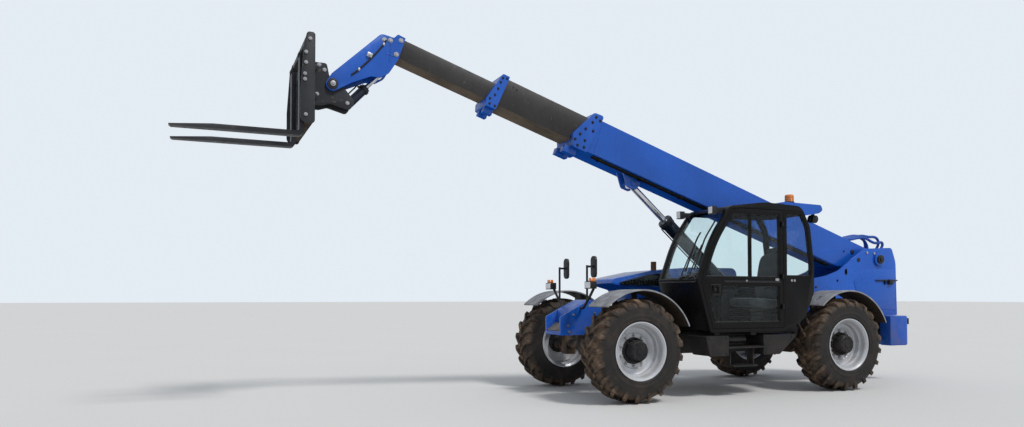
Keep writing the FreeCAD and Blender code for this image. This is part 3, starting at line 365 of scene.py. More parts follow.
def lens(name, base, emission=0.0):
    """Ribbed lamp lens."""
    recipe = Recipe(name)
    ribs = recipe.add("ShaderNodeTexWave", bands_direction="Z")
    ribs.inputs["Scale"].default_value = 60
    recipe.feed(ribs.inputs["Vector"], recipe.place)
    recipe.bump(ribs.outputs["Fac"], 0.002)
    tint = recipe.mix(recipe.noise(20, 3), rgba(base, 0.85), rgba(base, 1.15))
    recipe.drive("Base Color", tint)
    recipe.set(Roughness=0.16, Coat_Weight=0.6, Emission_Color=rgba(base), Emission_Strength=emission)
    return recipe.material


def woven():
    """Woven seat cover."""
    recipe = Recipe("seat_cloth")
    weave = recipe.add("ShaderNodeTexChecker")
    weave.inputs["Scale"].default_value = 420
    recipe.feed(weave.inputs["Vector"], recipe.place)
    cloth = recipe.mix(weave.outputs["Fac"], (0.03, 0.03, 0.034, 1), (0.06, 0.06, 0.066, 1))
    worn = recipe.mix(recipe.span(recipe.noise(6, 5), 0.5, 0.8, 0, 0.35), cloth, (0.15, 0.14, 0.13, 1))
    recipe.drive("Base Color", worn)
    recipe.bump(weave.outputs["Fac"], 0.0008)
    recipe.set(Roughness=0.93, Sheen_Weight=0.3)
    return recipe.material


def moulded(name, base, rough, dust, mottle=0.18):
    """Grained plastic or rubber that holds dust on top."""
    colours = bpy.context.scene.handler_paint
    recipe = Recipe(name)
    cloud = recipe.span(recipe.noise(5, 8), 0.3, 0.7)
    shade = recipe.mix(cloud, rgba(base, 1 - mottle), rgba(base, 1 + mottle * 0.5))
    up = recipe.facing_up(0.2, 1.0)
    film = recipe.times(recipe.times(up, recipe.span(recipe.noise(8, 8), 0.3, 0.7)), dust)
    shade = recipe.mix(film, shade, rgba(colours.dust))
    recipe.drive("Base Color", shade)
    recipe.drive("Roughness", recipe.span(recipe.noise(25, 4), 0.3, 0.7, rough - 0.08, rough + 0.08))
    grain = recipe.add("ShaderNodeTexVoronoi")
    grain.inputs["Scale"].default_value = 380
    recipe.feed(grain.inputs["Vector"], recipe.place)
    recipe.bump(grain.outputs["Distance"], 0.0005)
    recipe.set(Specular_IOR_Level=0.3)
    return recipe.material


def guard(name, centre):
    """Grey moulded mudguard, scuffed outside, with dark mud and painted shade on the side towards the tyre.
    """
    colours = bpy.context.scene.handler_paint
    recipe = Recipe(name)
    away = recipe.vector("SUBTRACT", recipe.place, centre)
    # Faces turned towards the tyre carry dark mud and painted shade.
    inside = recipe.span(recipe.vector("DOT_PRODUCT", away, recipe.normal, "Value"), -0.05, -0.25)
    scuffs = recipe.span(recipe.noise(9, 10), 0.35, 0.65)
    shade = recipe.mix(scuffs, rgba(colours.guard_grey, 0.6), rgba(colours.guard_grey, 1.1))
    streaks = recipe.span(recipe.noise(1.5, 8, stretch=(20, 3, 20)), 0.55, 0.75, 0, 0.5)
    shade = recipe.mix(streaks, shade, rgba(colours.dust))
    # Painted shade: the faces towards the tyre take the mud colour at about a fifth of its brightness.
    recipe.drive("Base Color", recipe.mix(inside, shade, rgba(colours.mud, 0.22)))
    recipe.drive("Roughness", recipe.span(inside, 0, 1, 0.5, 0.95))
    recipe.bump(recipe.plus(recipe.noise(60, 6), recipe.times(inside, recipe.noise(12, 8))), 0.0012)
    recipe.set(Specular_IOR_Level=0.3)
    return recipe.material


def muddy_rubber(name, centre):
    """Tyre rubber with brown mud that is thickest on the tread."""
    colours = bpy.context.scene.handler_paint
    recipe = Recipe(name)
    flat = recipe.vector("MULTIPLY", recipe.vector("SUBTRACT", recipe.place, centre), (1, 0, 1))
    reach = recipe.vector("LENGTH", flat, (0, 0, 0), "Value")
    outward = recipe.span(reach, TYRE_RADIUS - 0.11, TYRE_RADIUS - 0.03)
    patches = recipe.span(recipe.noise(6, 10), 0.33, 0.66)
    clods = recipe.span(recipe.noise(28, 6), 0.3, 0.7, 0.35, 1.0)
    tread = recipe.times(recipe.times(outward, patches), clods)
    film = recipe.span(recipe.noise(4, 8), 0.4, 0.8, 0.02, 0.1)
    mud = recipe.plus(recipe.times(tread, 0.92), film)
    rubber = recipe.mix(recipe.noise(12, 5), rgba(colours.rubber, 0.8), rgba(colours.rubber, 1.3))
    cloud = recipe.span(recipe.noise(11, 8), 0.35, 0.65)
    dried = recipe.mix(cloud, rgba(colours.mud, 0.55), rgba(colours.mud, 2.4))
    recipe.drive("Base Color", recipe.mix(mud, rubber, dried))
    recipe.drive("Roughness", recipe.span(mud, 0, 1, 0.62, 0.95))
    recipe.bump(recipe.plus(clods, recipe.times(tread, recipe.noise(90, 4))), 0.003, 0.6)
    recipe.set(Specular_IOR_Level=0.25)
    return recipe.material


FINISHES = {}


def make_finishes():
    """One finish for each material slot, and the ones that only small pieces use."""
    colours = bpy.context.scene.handler_paint
    FINISHES.update({
        "blue_paint": paint("blue_paint", colours.blue, 0.3, dust=0.12, mud=0.4, mud_top=1.1, coat=0.2,
                            chips=0.25, shine=0.35, grain=0.0002),
        "blue_hood": paint("blue_hood", colours.blue, 0.2, coat=0.8, dust=0.1, mud=0.1, shine=0.5,
                           grain=0.0001),
        "blue_boom": paint("blue_boom", colours.blue, 0.26, dust=0.08, mud=0.0, coat=0.25, shine=0.35,
                           grain=0.0001),
        # The grey sections get the painted ground reflection on their undersides.
        "boom_grey": paint("boom_grey", colours.boom_grey, 0.42, dust=0.12, mottle=0.2, mud=0.0, under=0.55,
                           chips=0.6),
        "axle_black": paint("axle_black", (0.02, 0.02, 0.02), 0.6, dust=0.35, mud=0.9, mud_top=1.2),
        "black_steel": paint("black_steel", (0.014, 0.014, 0.0145), 0.45, dust=0.16, mud=0.3, mud_top=0.8),
        "engine_iron": paint("engine_iron", (0.05, 0.05, 0.05), 0.65, dust=0.5, mud=0.4, mottle=0.3),
        "cab_black": paint("cab_black", colours.cab_black, 0.3, dust=0.04, mud=0.05, mud_top=1.0, coat=0.05,
                           grain=0.0001, shine=0.14),
        # The carriage gets the painted ground reflection on its undersides, at a lower share.
        "carriage_black": paint("carriage_black", colours.carriage, 0.42, dust=0.12, mud=0.0, mottle=0.25,
                                under=0.2, chips=0.8),
        "fork_steel": paint("fork_steel", (0.05, 0.05, 0.055), 0.4, dust=0.15, mud=0.0, mottle=0.35,
                            metal=0.6, chips=0.8),
        "cylinder_dark": paint("cylinder_dark", (0.008, 0.012, 0.026), 0.3, dust=0.1, mud=0.2, coat=0.4),
        "rim_silver": paint("rim_silver", colours.rim_silver, 0.36, dust=0.2, mud=0.3, mud_top=0.95,
                            metal=0.3),
        "guard_grey": moulded("guard_grey", colours.guard_grey, 0.5, dust=0.45, mottle=0.5),
        "black_plastic": moulded("black_plastic", (0.016, 0.016, 0.017), 0.45, dust=0.12),
        "seat_black": woven(),
        "glass": glass(),
        "chrome": chrome(),
        "mirror": mirror(),
        "amber_lamp": lens("amber_lamp", (0.72, 0.2, 0.02), 0.03),
        "red_lens": lens("red_lens", (0.5, 0.012, 0.01)),
        "white_lens": lens("white_lens", (0.75, 0.76, 0.78)),
        "hood_grilles": paint("gloss_black", (0.006, 0.006, 0.006), 0.14, dust=0.08, mud=0.0, coat=0.5,
                              shine=0.5),
        "exhaust_stack": paint("exhaust_rust", (0.09, 0.045, 0.028), 0.7, dust=0.3, mud=0.0, mottle=0.5,
                               metal=0.3),
        "zinc": paint("zinc_bolts", (0.42, 0.42, 0.43), 0.38, dust=0.2, mud=0.3, metal=0.85),
        "skid": paint("skid_plate", (0.16, 0.15, 0.14), 0.55, dust=0.9, mud=0.3, metal=0.3),
        "dark_bolts": paint("dark_bolts", (0.03, 0.03, 0.032), 0.45, dust=0.25, mud=0.2, metal=0.4),
        "hose_blue": moulded("hose_blue", (0.012, 0.075, 0.36), 0.4, dust=0.1),
        "hose_rubber": moulded("hose_rubber", (0.012, 0.012, 0.0125), 0.5, dust=0.15),
        "hub_black": paint("hub_black", (0.011, 0.011, 0.012), 0.4, dust=0.12, mud=0.15, mud_top=0.9),
    })
    for wheel in WHEELS:
        name = "tyre_" + wheel
        FINISHES[name] = muddy_rubber("rubber_" + wheel, middle(name))
        FINISHES["guard_" + wheel] = guard("guard_" + wheel, middle(name))


# Shapes


def edges_at(verts):
    """Edges that meet at some corners, each once and in the same order every run."""
    return list(dict.fromkeys(edge for vert in verts for edge in vert.link_edges))


def box(shape, low, high, edge=0.0, place=None):
    """Block between two corners, with rounded edges."""
    low, high = Vector(low), Vector(high)
    verts = bmesh.ops.create_cube(shape, size=1.0)["verts"]
    bmesh.ops.scale(shape, vec=high - low, verts=verts)
    bmesh.ops.translate(shape, vec=(low + high) / 2, verts=verts)
    if place is not None:
        bmesh.ops.transform(shape, matrix=place, verts=verts)
    if edge > 0:
        soften(shape, edges_at(verts), edge)


def soften(shape, edges, width, clamp=True):
    """Rounded edges."""
    bmesh.ops.bevel(shape, geom=edges, offset=width, offset_type="OFFSET", affect="EDGES", segments=2,
                    profile=0.5, clamp_overlap=clamp, material=-1)


def turned(direction):
    """Rotation that lays Z along a direction."""
    return Vector(direction).to_track_quat("Z", "Y").to_matrix().to_4x4()


def barrel(shape, start, direction, radius, reach, sides=32, end_radius=None, edge=0.0):
    """Round bar or cone from a start point along a direction."""
    direction = Vector(direction).normalized()
    place = Matrix.Translation(Vector(start) + direction * (reach / 2)) @ turned(direction)
    tip = radius if end_radius is None else end_radius
    made = bmesh.ops.create_cone(shape, cap_ends=True, cap_tris=False, segments=sides, radius1=radius,
                                 radius2=tip, depth=reach, matrix=place)
    if edge > 0:
        edges = edges_at(made["verts"])
        rims = [e for e in edges if abs((e.verts[0].co - e.verts[1].co) @ direction) < MERGE]
        soften(shape, rims, edge)


def spun(shape, rows, centre, axis=LEFT, start=FRONT, steps=64):
    """Ring made by turning rows of radius and offset round an axis."""
    centre = Vector(centre)
    verts = [shape.verts.new(centre + start * radius + axis * offset) for radius, offset in rows]
    edges = [shape.edges.new(pair) for pair in zip(verts, verts[1:] + verts[:1])]
    bmesh.ops.spin(shape, geom=verts + edges, cent=centre, axis=axis, angle=math.tau, steps=steps,
                   use_merge=True)


def slab(shape, points, depth, edge=0.0):
    """Flat plate from the corners of one side, pushed through by a depth."""
    face = shape.faces.new([shape.verts.new(point) for point in points])
    pushed = bmesh.ops.extrude_face_region(shape, geom=[face])["geom"]
    verts = [item for item in pushed if isinstance(item, bmesh.types.BMVert)]
    bmesh.ops.translate(shape, vec=Vector(depth), verts=verts)
    if edge > 0:
        soften(shape, edges_at(list(face.verts) + verts), edge)


def sweep(shape, points, radius, sides=12):
    """Round bar through points, with mitred corners."""
    points = [Vector(point) for point in points]
    rings = []
    for i, point in enumerate(points):
        before = (point - points[i - 1]).normalized() if i else None
        after = (points[i + 1] - point).normalized() if i + 1 < len(points) else None
        along = (before or after) + (after or before)
        circle = bmesh.ops.create_circle(shape, cap_ends=False, segments=sides, radius=radius,
                                         matrix=Matrix.Translation(point) @ turned(along))
        rings.append(edges_at(circle["verts"]))
    for first, second in zip(rings, rings[1:]):
        bmesh.ops.bridge_loops(shape, edges=first + second)
    bmesh.ops.holes_fill(shape, edges=rings[0] + rings[-1], sides=sides)


def bolts(shape, places, direction, radius=None, height=0.012):
    """Hexagon bolt heads on round washers."""
    radius = radius or bpy.context.scene.handler_sizes.bolt_radius
    for place in places:
        barrel(shape, place, direction, radius * 1.35, 0.004, sides=20)
        barrel(shape, place, direction, radius, height, sides=6, end_radius=radius * 0.94)


def piece(name, shape, body, finish):
    """Finished object on a body, in one finish."""
    bmesh.ops.remove_doubles(shape, verts=shape.verts, dist=MERGE)
    bmesh.ops.recalc_face_normals(shape, faces=shape.faces)
    return settle(name, shape, body, finish)


def settle(name, shape, body, finish):
    """Mesh object with smooth faces and sharp creases."""
    for face in shape.faces:
        face.smooth = True
    for edge in shape.edges:
        edge.smooth = len(edge.link_faces) == 2 and edge.calc_face_angle(math.pi) < CREASE
    mesh = bpy.data.meshes.new(name)
    shape.to_mesh(mesh)
    shape.free()
    mesh.materials.append(FINISHES[finish])
    made = bpy.data.objects.new(name, mesh)
    bpy.context.scene.collection.objects.link(made)
    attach(made, body)
    return made


def pipe(name, points, radius, body, finish):
    """Bent pipe along a smooth line."""
    curve = bpy.data.curves.new(name, "CURVE")
    curve.dimensions = "3D"
    curve.bevel_depth = radius
    curve.bevel_resolution = 4
    curve.use_fill_caps = True
    line = curve.splines.new("NURBS")
    line.points.add(len(points) - 1)
    for knot, point in zip(line.points, points):
        knot.co = (*point, 1)
    line.order_u = 3
    line.use_endpoint_u = True
    line.resolution_u = 8
    holder = bpy.data.objects.new(name + "_line", curve)
    mesh = bpy.data.meshes.new_from_object(holder)
    shape = bmesh.new()
    shape.from_mesh(mesh)
    bpy.data.objects.remove(holder)
    bpy.data.meshes.remove(mesh)
    return piece(name, shape, body, finish)


def own_slot(node):
    """Material slot that a node of the frame came with."""
    return node.material_slots[0].name.split(".")[0]


def dress(name, edge):
    """Copy of a node with its steel edges rounded, which stands for the node."""
    node = frame["nodes"][name]
    slot = own_slot(node)
    shape = bmesh.new()
    shape.from_mesh(node.data)
    bmesh.ops.remove_doubles(shape, verts=shape.verts, dist=MERGE)
    bmesh.ops.dissolve_limit(shape, angle_limit=math.radians(0.3), verts=shape.verts, edges=shape.edges)
    outer = [e for e in shape.edges if e.is_convex and e.calc_face_angle(0) > CREASE]
    sharp = [e for e in outer if e.calc_length() > SHORT_EDGE]
    if name in WELL_ROUNDED:
        away = WELL_ROUNDED[name]
        sharp = [e for e in sharp if min(abs(v.co.y) for v in e.verts) > away]
    soften(shape, sharp, edge, clamp=name not in WELL_ROUNDED)
    if name in EASED_BORES:
        centre, reach, ease = EASED_BORES[name]
        for vert in shape.verts:
            away = Vector((vert.co.x - centre.x, 0, vert.co.z - centre.z))
            if away.length < reach:
                vert.co += away.normalized() * ease
    made = settle(name + "_dressed", shape, node["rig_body"], FINISHES_BY_NODE.get(name, slot))
    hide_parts(name)
    return made


FINISHES_BY_NODE = {
    # node: finish in place of the one of its slot
    "engine_hood": "blue_hood",
    "boom_base": "blue_boom",
    **{"mudguard_" + wheel: "guard_" + wheel for wheel in WHEELS},
}
WELL_ROUNDED = {
    # node: distance from the middle plane past which its edges are rounded in full
    "counterweight": 0.08,
}
EASED_BORES = {
    # node: middle of the bore that turns on its pin, reach round it and the room added
    "boom_base": (BOOM_PIVOT, 0.053, 0.003),
}
SOFTENED = {
    # node: radius of its edges
    "chassis_frame": 0.003,
    "front_nose": 0.006,
    "boom_tower": 0.006,
    "counterweight": 0.022,
    "side_steps": 0.004,
    "engine_hood": 0.006,
    "cab_shell": 0.006,
    "cab_roof": 0.006,
    "roof_cowl": 0.012,
    "door_frame": 0.004,
    "boom_base": 0.006,
    "boom_mid": 0.008,
    "mid_collar": 0.004,
    "boom_tip": 0.008,
    "boom_head": 0.005,
    "coupler": 0.003,
    "fork_carriage": 0.004,
    "forks": 0.004,
    "cab_lamps": 0.006,
    "nose_lamps_mirrors": 0.004,
    **{"mudguard_" + wheel: 0.006 for wheel in WHEELS},
}


class HANDLER_OT_paint_frame(bpy.types.Operator):
    """Give every solid of the frame its finish, and round the edges of the plates"""

    bl_idname = "handler.paint_frame"
    bl_label = "Paint the frame"

    def execute(self, context):
        make_finishes()
        for name, node in frame["nodes"].items():
            node.material_slots[0].material = FINISHES.get(name, FINISHES.get(own_slot(node)))
        for name, edge in SOFTENED.items():
            dress(name, edge)
        return {"FINISHED"}


# Wheels


TYRE_SECTION = (
    # radius and offset from the middle plane, from the bead to the crown
    (0.307, 0.150),
    (0.316, 0.172),
    (0.336, 0.180),
    (0.345, 0.188),
    (0.352, 0.195),
    (0.360, 0.193),
    (0.382, 0.197),
    (0.400, 0.2005),
    (0.404, 0.1985),
    (0.440, 0.200),
    (0.478, 0.197),
    (0.506, 0.190),
    (0.530, 0.176),
    (0.545, 0.152),
    (0.553, 0.110),
    (0.556, 0.050),
)
LUG_STATIONS = (
    # offset and radius at the foot, offset and radius of the top, run along the tread, half width
    (-0.016, 0.548, -0.016, 0.586, 0.010, 0.016),
    (0.010, 0.548, 0.010, 0.590, -0.012, 0.020),
    (0.060, 0.548, 0.060, 0.590, -0.058, 0.021),
    (0.112, 0.544, 0.114, 0.588, -0.104, 0.023),
    (0.152, 0.534, 0.160, 0.581, -0.134, 0.026),
    (0.178, 0.516, 0.190, 0.560, -0.148, 0.028),
    (0.188, 0.494, 0.2015, 0.524, -0.152, 0.027),
    (0.192, 0.474, 0.2005, 0.486, -0.153, 0.022),
)


def lug(shape, centre, angle, hand):
    """One bar of the tread, swept from the middle over the shoulder."""
    loops = []
    for foot, foot_radius, top, top_radius, run, width in LUG_STATIONS:
        corners = ((foot, foot_radius, -width - 0.006), (top, top_radius - 0.004, -width),
                   (top, top_radius, 0.005 - width), (top, top_radius, width - 0.005),
                   (top, top_radius - 0.004, width), (foot, foot_radius, width + 0.006))
        verts = []
        for offset, radius, shift in corners:
            turn = angle + (run + shift) / TYRE_RADIUS
            place = Vector((radius * math.sin(turn), hand * offset, radius * math.cos(turn)))
            verts.append(shape.verts.new(centre + place))
        loops.append([shape.edges.new(pair) for pair in zip(verts, verts[1:] + verts[:1])])
    for first, second in zip(loops, loops[1:]):
        bmesh.ops.bridge_loops(shape, edges=first + second)
    bmesh.ops.holes_fill(shape, edges=loops[0] + loops[-1], sides=6)


class HANDLER_OT_tyres(bpy.types.Operator):
    """Build the four tyres with their slanted lugs"""

    bl_idname = "handler.tyres"
    bl_label = "Tyres"

    def execute(self, context):
        count = context.scene.handler_sizes.lug_count
        for wheel in WHEELS:
            name = "tyre_" + wheel
            centre = middle(name)
            shape = bmesh.new()
            outer = list(TYRE_SECTION)
            rows = outer + [(0.557, 0.0)] + [(radius, -offset) for radius, offset in reversed(outer)]
            spun(shape, rows, centre, steps=96)
            for i in range(count):
                lug(shape, centre, math.tau * i / count, 1)
                lug(shape, centre, math.tau * (i + 0.5) / count, -1)
            made = piece(name + "_lugged", shape, "wheel_" + wheel, name)
            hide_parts(name)
        return {"FINISHED"}


RIM_ROWS = (
    # radius and offset towards the outside, round the rim's shell
    (0.3315, 0.190), (0.3315, 0.181), (0.324, 0.179), (0.306, 0.168), (0.3035, 0.120), (0.284, 0.098),
    (0.284, -0.060), (0.3035, -0.085), (0.306, -0.168), (0.324, -0.179), (0.3315, -0.181), (0.3315, -0.190),
    (0.322, -0.190), (0.298, -0.174), (0.296, -0.088), (0.274, -0.062), (0.274, -0.010), (0.262, 0.002),
    (0.215, 0.010), (0.200, 0.012), (0.146, 0.012), (0.146, 0.026), (0.196, 0.026), (0.205, 0.034),
    (0.222, 0.030), (0.255, 0.030), (0.266, 0.036), (0.271, 0.048), (0.272, 0.088), (0.286, 0.104),
    (0.293, 0.122), (0.293, 0.150), (0.299, 0.170), (0.321, 0.190),
)
HUB_ROWS = (
    (0.0, 0.166), (0.040, 0.166), (0.044, 0.160), (0.066, 0.160), (0.102, 0.157), (0.111, 0.150),
    (0.120, 0.128), (0.1235, 0.122), (0.1235, 0.046), (0.150, 0.042), (0.153, 0.026), (0.1405, 0.010),
    (0.1405, -0.034), (0.070, -0.034), (0.0, -0.034),
)


class HANDLER_OT_rims(bpy.types.Operator):
    """Build the rims, hubs, nuts and valves"""

    bl_idname = "handler.rims"
    bl_label = "Rims and hubs"

    def execute(self, context):
        count = context.scene.handler_sizes.nut_count
        for wheel in WHEELS:
            centre = middle("rim_" + wheel)
            out = LEFT if centre.y > 0 else -LEFT
            body = "wheel_" + wheel
            rim = bmesh.new()
            spun(rim, RIM_ROWS, centre, axis=out, steps=96)
            made = piece("rim_" + wheel + "_pressed", rim, body, "rim_silver")
            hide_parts("rim_" + wheel)
            hub = bmesh.new()
            spun(hub, HUB_ROWS, centre, axis=out, steps=64)
            nuts = bmesh.new()
            for i in range(count):
                away = self.away(i / count)
                place = centre + away * 0.174 + out * 0.025
                barrel(nuts, place, out, 0.021, 0.004, sides=20)
                barrel(nuts, place, out, 0.0165, 0.022, sides=6, edge=0.002)
                barrel(nuts, place, out, 0.0085, 0.034, sides=12)
            for i in range(8):
                away = self.away((i + 0.5) / 8)
                barrel(hub, centre + away * 0.087 + out * 0.154, out, 0.009, 0.012, sides=6, edge=0.0015)
            for i in range(12):
                away = self.away(i / 12)
                box(hub, (-0.004, -0.004, 0.0), (0.004, 0.020, 0.07), 0.002,
                    Matrix.Translation(centre + away * 0.122 + out * 0.042) @ turned(out))
            away = self.away(0.1)
            valve = centre + away * 0.258 + out * 0.03
            stem = (valve, valve + out * 0.03 - away * 0.005, valve + out * 0.06 - away * 0.02)
            sweep(nuts, stem, 0.004, 8)
            piece("hub_" + wheel, hub, body, "hub_black")
            piece("wheel_nuts_" + wheel, nuts, body, "zinc")
        return {"FINISHED"}

    def away(self, share):
        """Direction out from the axle at a share of a turn."""
        return Vector((math.sin(math.tau * share), 0, math.cos(math.tau * share)))


# Boom


# Bolts, along the boom and above its axis in millimetres
COLLAR_BOLTS = (
    (4832, 100), (4898, 120), (4925, 40), (4990, -75), (5040, -165), (5085, -250), (5030, -310),
    (4940, -300), (4955, -215), (4885, -60),
)
MID_BOLTS = (
    (6125, 85), (6175, 70), (6185, 10), (6190, -75), (6205, -160), (6250, -225), (6235, -285), (6165, -285),
)
HEAD_BOLTS = ((7593, -113), (7530, -90), (7420, -40), (7420, -210))

# Bolts, ahead of the rear axle and above the ground in millimetres
CARRIAGE_BOLTS = ((6650, 3800), (6690, 3660), (6690, 3555), (6700, 3440), (6700, 3385), (6690, 3030))

# Hoses: distance to the left, then points along the boom and above its axis, in millimetres
FOOT_HOSES = (
    (-105, (560, 112), (420, 190), (300, 262), (174, 335), (52, 372), (-46, 358), (-110, 270), (-100, 160),
     (-40, 90)),
    (-50, (620, 112), (430, 180), (258, 268), (140, 330), (30, 335), (-60, 300), (-110, 240), (-120, 160),
     (-70, 80)),
    (20, (640, 112), (400, 190), (250, 270), (120, 350), (-20, 375), (-140, 425), (-230, 400), (-250, 280),
     (-130, 60)),
    (80, (560, 112), (380, 180), (230, 270), (90, 320), (-76, 300), (-170, 330), (-262, 385), (-290, 290),
     (-135, 50)),
)


class HANDLER_OT_boom(bpy.types.Operator):
    """Add bolts, hoses and fittings to the boom"""

    bl_idname = "handler.boom"
    bl_label = "Boom fittings"

    def execute(self, context):
        self.heads()
        self.hoses()
        self.undersides()
        self.head_end()
        self.cylinders()
        return {"FINISHED"}

    def heads(self):
        """Bolts on both sides of the collars and the head."""
        rows = (
            ("collar_bolts", "boom", COLLAR_BOLTS, 220, 0.013, "dark_bolts"),
            ("mid_bolts", "mid_section", MID_BOLTS, 187, 0.011, "dark_bolts"),
            ("head_bolts", "tip_section", HEAD_BOLTS, 150, 0.02, "zinc"),
        )
        for name, body, places, half, radius, finish in rows:
            shape = bmesh.new()
            for side in (1, -1):
                bolts(shape, boom_row(side * half, places), LEFT * side, radius)
            piece(name, shape, body, finish)

    def hoses(self):
        """Hose loops over the boom's foot with their clamps, and the knobs and ribs below them."""
        clamps = bmesh.new()
        for i, (y, *points) in enumerate(FOOT_HOSES):
            line = [boom_mm(s, y * (1 - k / 30), h) for k, (s, h) in enumerate(points)]
            pipe("foot_hose_%d" % i, line, 0.02, "boom", "hose_blue")
            end = points[0][0]
            first, second = boom_mm(end + 120, y, 108), boom_mm(end, y, 112)
            barrel(clamps, first, second - first, 0.023, 0.13, sides=16)
            barrel(clamps, boom_mm(end - 8, y, 112), second - first, 0.027, 0.03, sides=6)
        box(clamps, (0.40, -0.15, 0.115), (0.44, 0.15, 0.13), 0.004, BOOM)
        box(clamps, (-0.13, -0.12, 0.02), (-0.10, 0.12, 0.10), 0.006, BOOM)
        piece("foot_clamps", clamps, "boom", "dark_bolts")
        knob = bmesh.new()
        for side in (1, -1):
            barrel(knob, boom_mm(406, side * 190, -21), LEFT * side, 0.032, 0.026, edge=0.004)
            barrel(knob, boom_mm(560, side * 190, -70), LEFT * side, 0.014, 0.02, sides=6)
        piece("foot_knobs", knob, "boom", "dark_bolts")
        ridge = bmesh.new()
        for y in (190, -197):
            corners = ((280, -5), (1050, -318), (1050, -305), (285, 10))
            slab(ridge, boom_row(y, corners), (0, 0.007, 0), 0.002)
        piece("foot_ribs", ridge, "boom", "blue_boom")

    def undersides(self):
        """Weld lines, wear pads and roller of the base section, and marks on the middle one."""
        seam = bmesh.new()
        for low in (0.190, -0.1935):
            box(seam, (4.775, low, -0.32), (4.782, low + 0.0035, 0.118), 0.001, BOOM)
            box(seam, (1.10, low, -0.312), (4.78, low + 0.0035, -0.302), 0.001, BOOM)
        piece("base_welds", seam, "boom", "blue_boom")
        pads = bmesh.new()
        for side in (1, -1):
            box(pads, (4.94, side * 0.165 - 0.008, -0.24), (5.02, side * 0.165 + 0.008, -0.02), 0.002, BOOM)
        barrel(pads, boom_mm(4870, -90, 187), LEFT, 0.018, 0.18, sides=20, edge=0.002)
        for y in (-100, 88):
            box(pads, (4.85, y / 1000, 0.165), (4.89, y / 1000 + 0.012, 0.205), 0.003, BOOM)
        piece("base_pads", pads, "boom", "black_plastic")
        marks = bmesh.new()
        for s, h in ((6010, 30), (5960, 20)):
            barrel(marks, boom_mm(s, 155, h), LEFT, 0.012, 0.001, sides=16)
        piece("mid_marks", marks, "mid_section", "dark_bolts")

    def head_end(self):
        """Hose, fittings and seams of the head, pin caps, carriage bolts and fork locks."""
        near = [(7575, -112), (7590, -190), (7650, -350), (7700, -460), (7760, -580), (7800, -640)]
        pipe("head_hose", boom_row(160, near), 0.009, "tip_section", "hose_rubber")
        fitting = bmesh.new()
        box(fitting, (7.66, 0.150, -0.375), (7.72, 0.172, -0.325), 0.004, BOOM)
        barrel(fitting, boom_mm(7690, 172, -350), LEFT, 0.012, 0.014, sides=6)
        for s, h in ((7.585, -0.17), (7.745, -0.55)):
            box(fitting, (s - 0.012, 0.150, h - 0.015), (s + 0.012, 0.171, h + 0.015), 0.003, BOOM)
        piece("head_fitting", fitting, "tip_section", "zinc")
        creases = bmesh.new()
        for y in (150, -154):
            for corners in (((7420, -235), (7530, -245), (7530, -255), (7420, -247)),
                            ((7520, -50), (7532, -50), (7470, -320), (7458, -320))):
                slab(creases, boom_row(y, corners), (0, 0.004, 0), 0.001)
        piece("head_seams", creases, "tip_section", "blue_paint")
        caps = bmesh.new()
        for side in (1, -1):
            pin = boom_mm(7950, side * 164, -815)
            barrel(caps, pin, LEFT * side, 0.030, 0.012, edge=0.002)
            bolts(caps, [pin + LEFT * side * 0.010], LEFT * side, 0.014, 0.014)
            rest = side_row(side * 119, ((6487, 3690), (6431, 3640), (6509, 3372), (6185, 3304)))
            bolts(caps, rest, LEFT * side)
        piece("coupler_bolts", caps, "fork_coupler", "zinc")
        ends = bmesh.new()
        for side in (1, -1):
            for place in side_row(side * 600, CARRIAGE_BOLTS):
                barrel(ends, place, LEFT * side, 0.019, 0.006, sides=24)
                barrel(ends, place, LEFT * side, 0.013, 0.016, sides=6)
        piece("carriage_bolts", ends, "fork_coupler", "zinc")
        hooks = bmesh.new()
        for side in (1, -1):
            y = side * 330
            box(hooks, (-0.045, -0.052, 0.0), (0.012, 0.052, 0.03), 0.004, at(6725, y, 3690))
            barrel(hooks, mm(6702, y, 3700), UP, 0.014, 0.05, sides=16, edge=0.003)
        piece("fork_locks", hooks, "fork_coupler", "dark_bolts")

    def cylinders(self):
        """Gland rings and feed pipes on the lift and tilt cylinders."""
        cylinders = (
            # pins at both ends, the gland short of the second, radii of gland and tube, the feed's start
            ("lift", mm(520, 0, 900), boom_mm(4080, 0, -405), 0.690, 0.093, 0.085, 0.30),
            ("tilt", mm(6165.7, 0, 3307.7), boom_mm(7500, 0, -457), 0.225, 0.056, 0.050, 0.07),
        )
        for name, foot, eye, back, ring, tube, start in cylinders:
            body = name + "_barrel"
            along = (eye - foot).normalized()
            reach = (eye - foot).length - back
            across = along.cross(LEFT).normalized()
            shape = bmesh.new()
            lip = ring + 0.006
            rows = ((ring * 0.99, -0.05), (lip, -0.045), (lip, -0.02), (ring * 0.99, -0.015))
            spun(shape, rows, foot + along * reach, axis=along, start=across, steps=48)
            for i in range(6):
                turn = math.tau * i / 6
                away = across * math.cos(turn) + LEFT * math.sin(turn)
                barrel(shape, foot + along * reach + away * ring * 0.78, along, 0.008, 0.008, sides=6)
            piece(name + "_gland", shape, body, "dark_bolts")
            off = tube + 0.03
            end = reach - 0.05
            bends = ((start, tube), (start, off), (start + 0.04, off), (end - 0.04, off), (end, off),
                     (end, ring - 0.005))
            port = bmesh.new()
            sweep(port, [foot + along * d - across * side for d, side in bends], 0.008)
            for d, side in ((start, tube), (end, ring - 0.002)):
                barrel(port, foot + along * d - across * (side - 0.004), -across, 0.014, 0.02, sides=6)
            piece(name + "_feed", port, body, "dark_bolts")


# Chassis


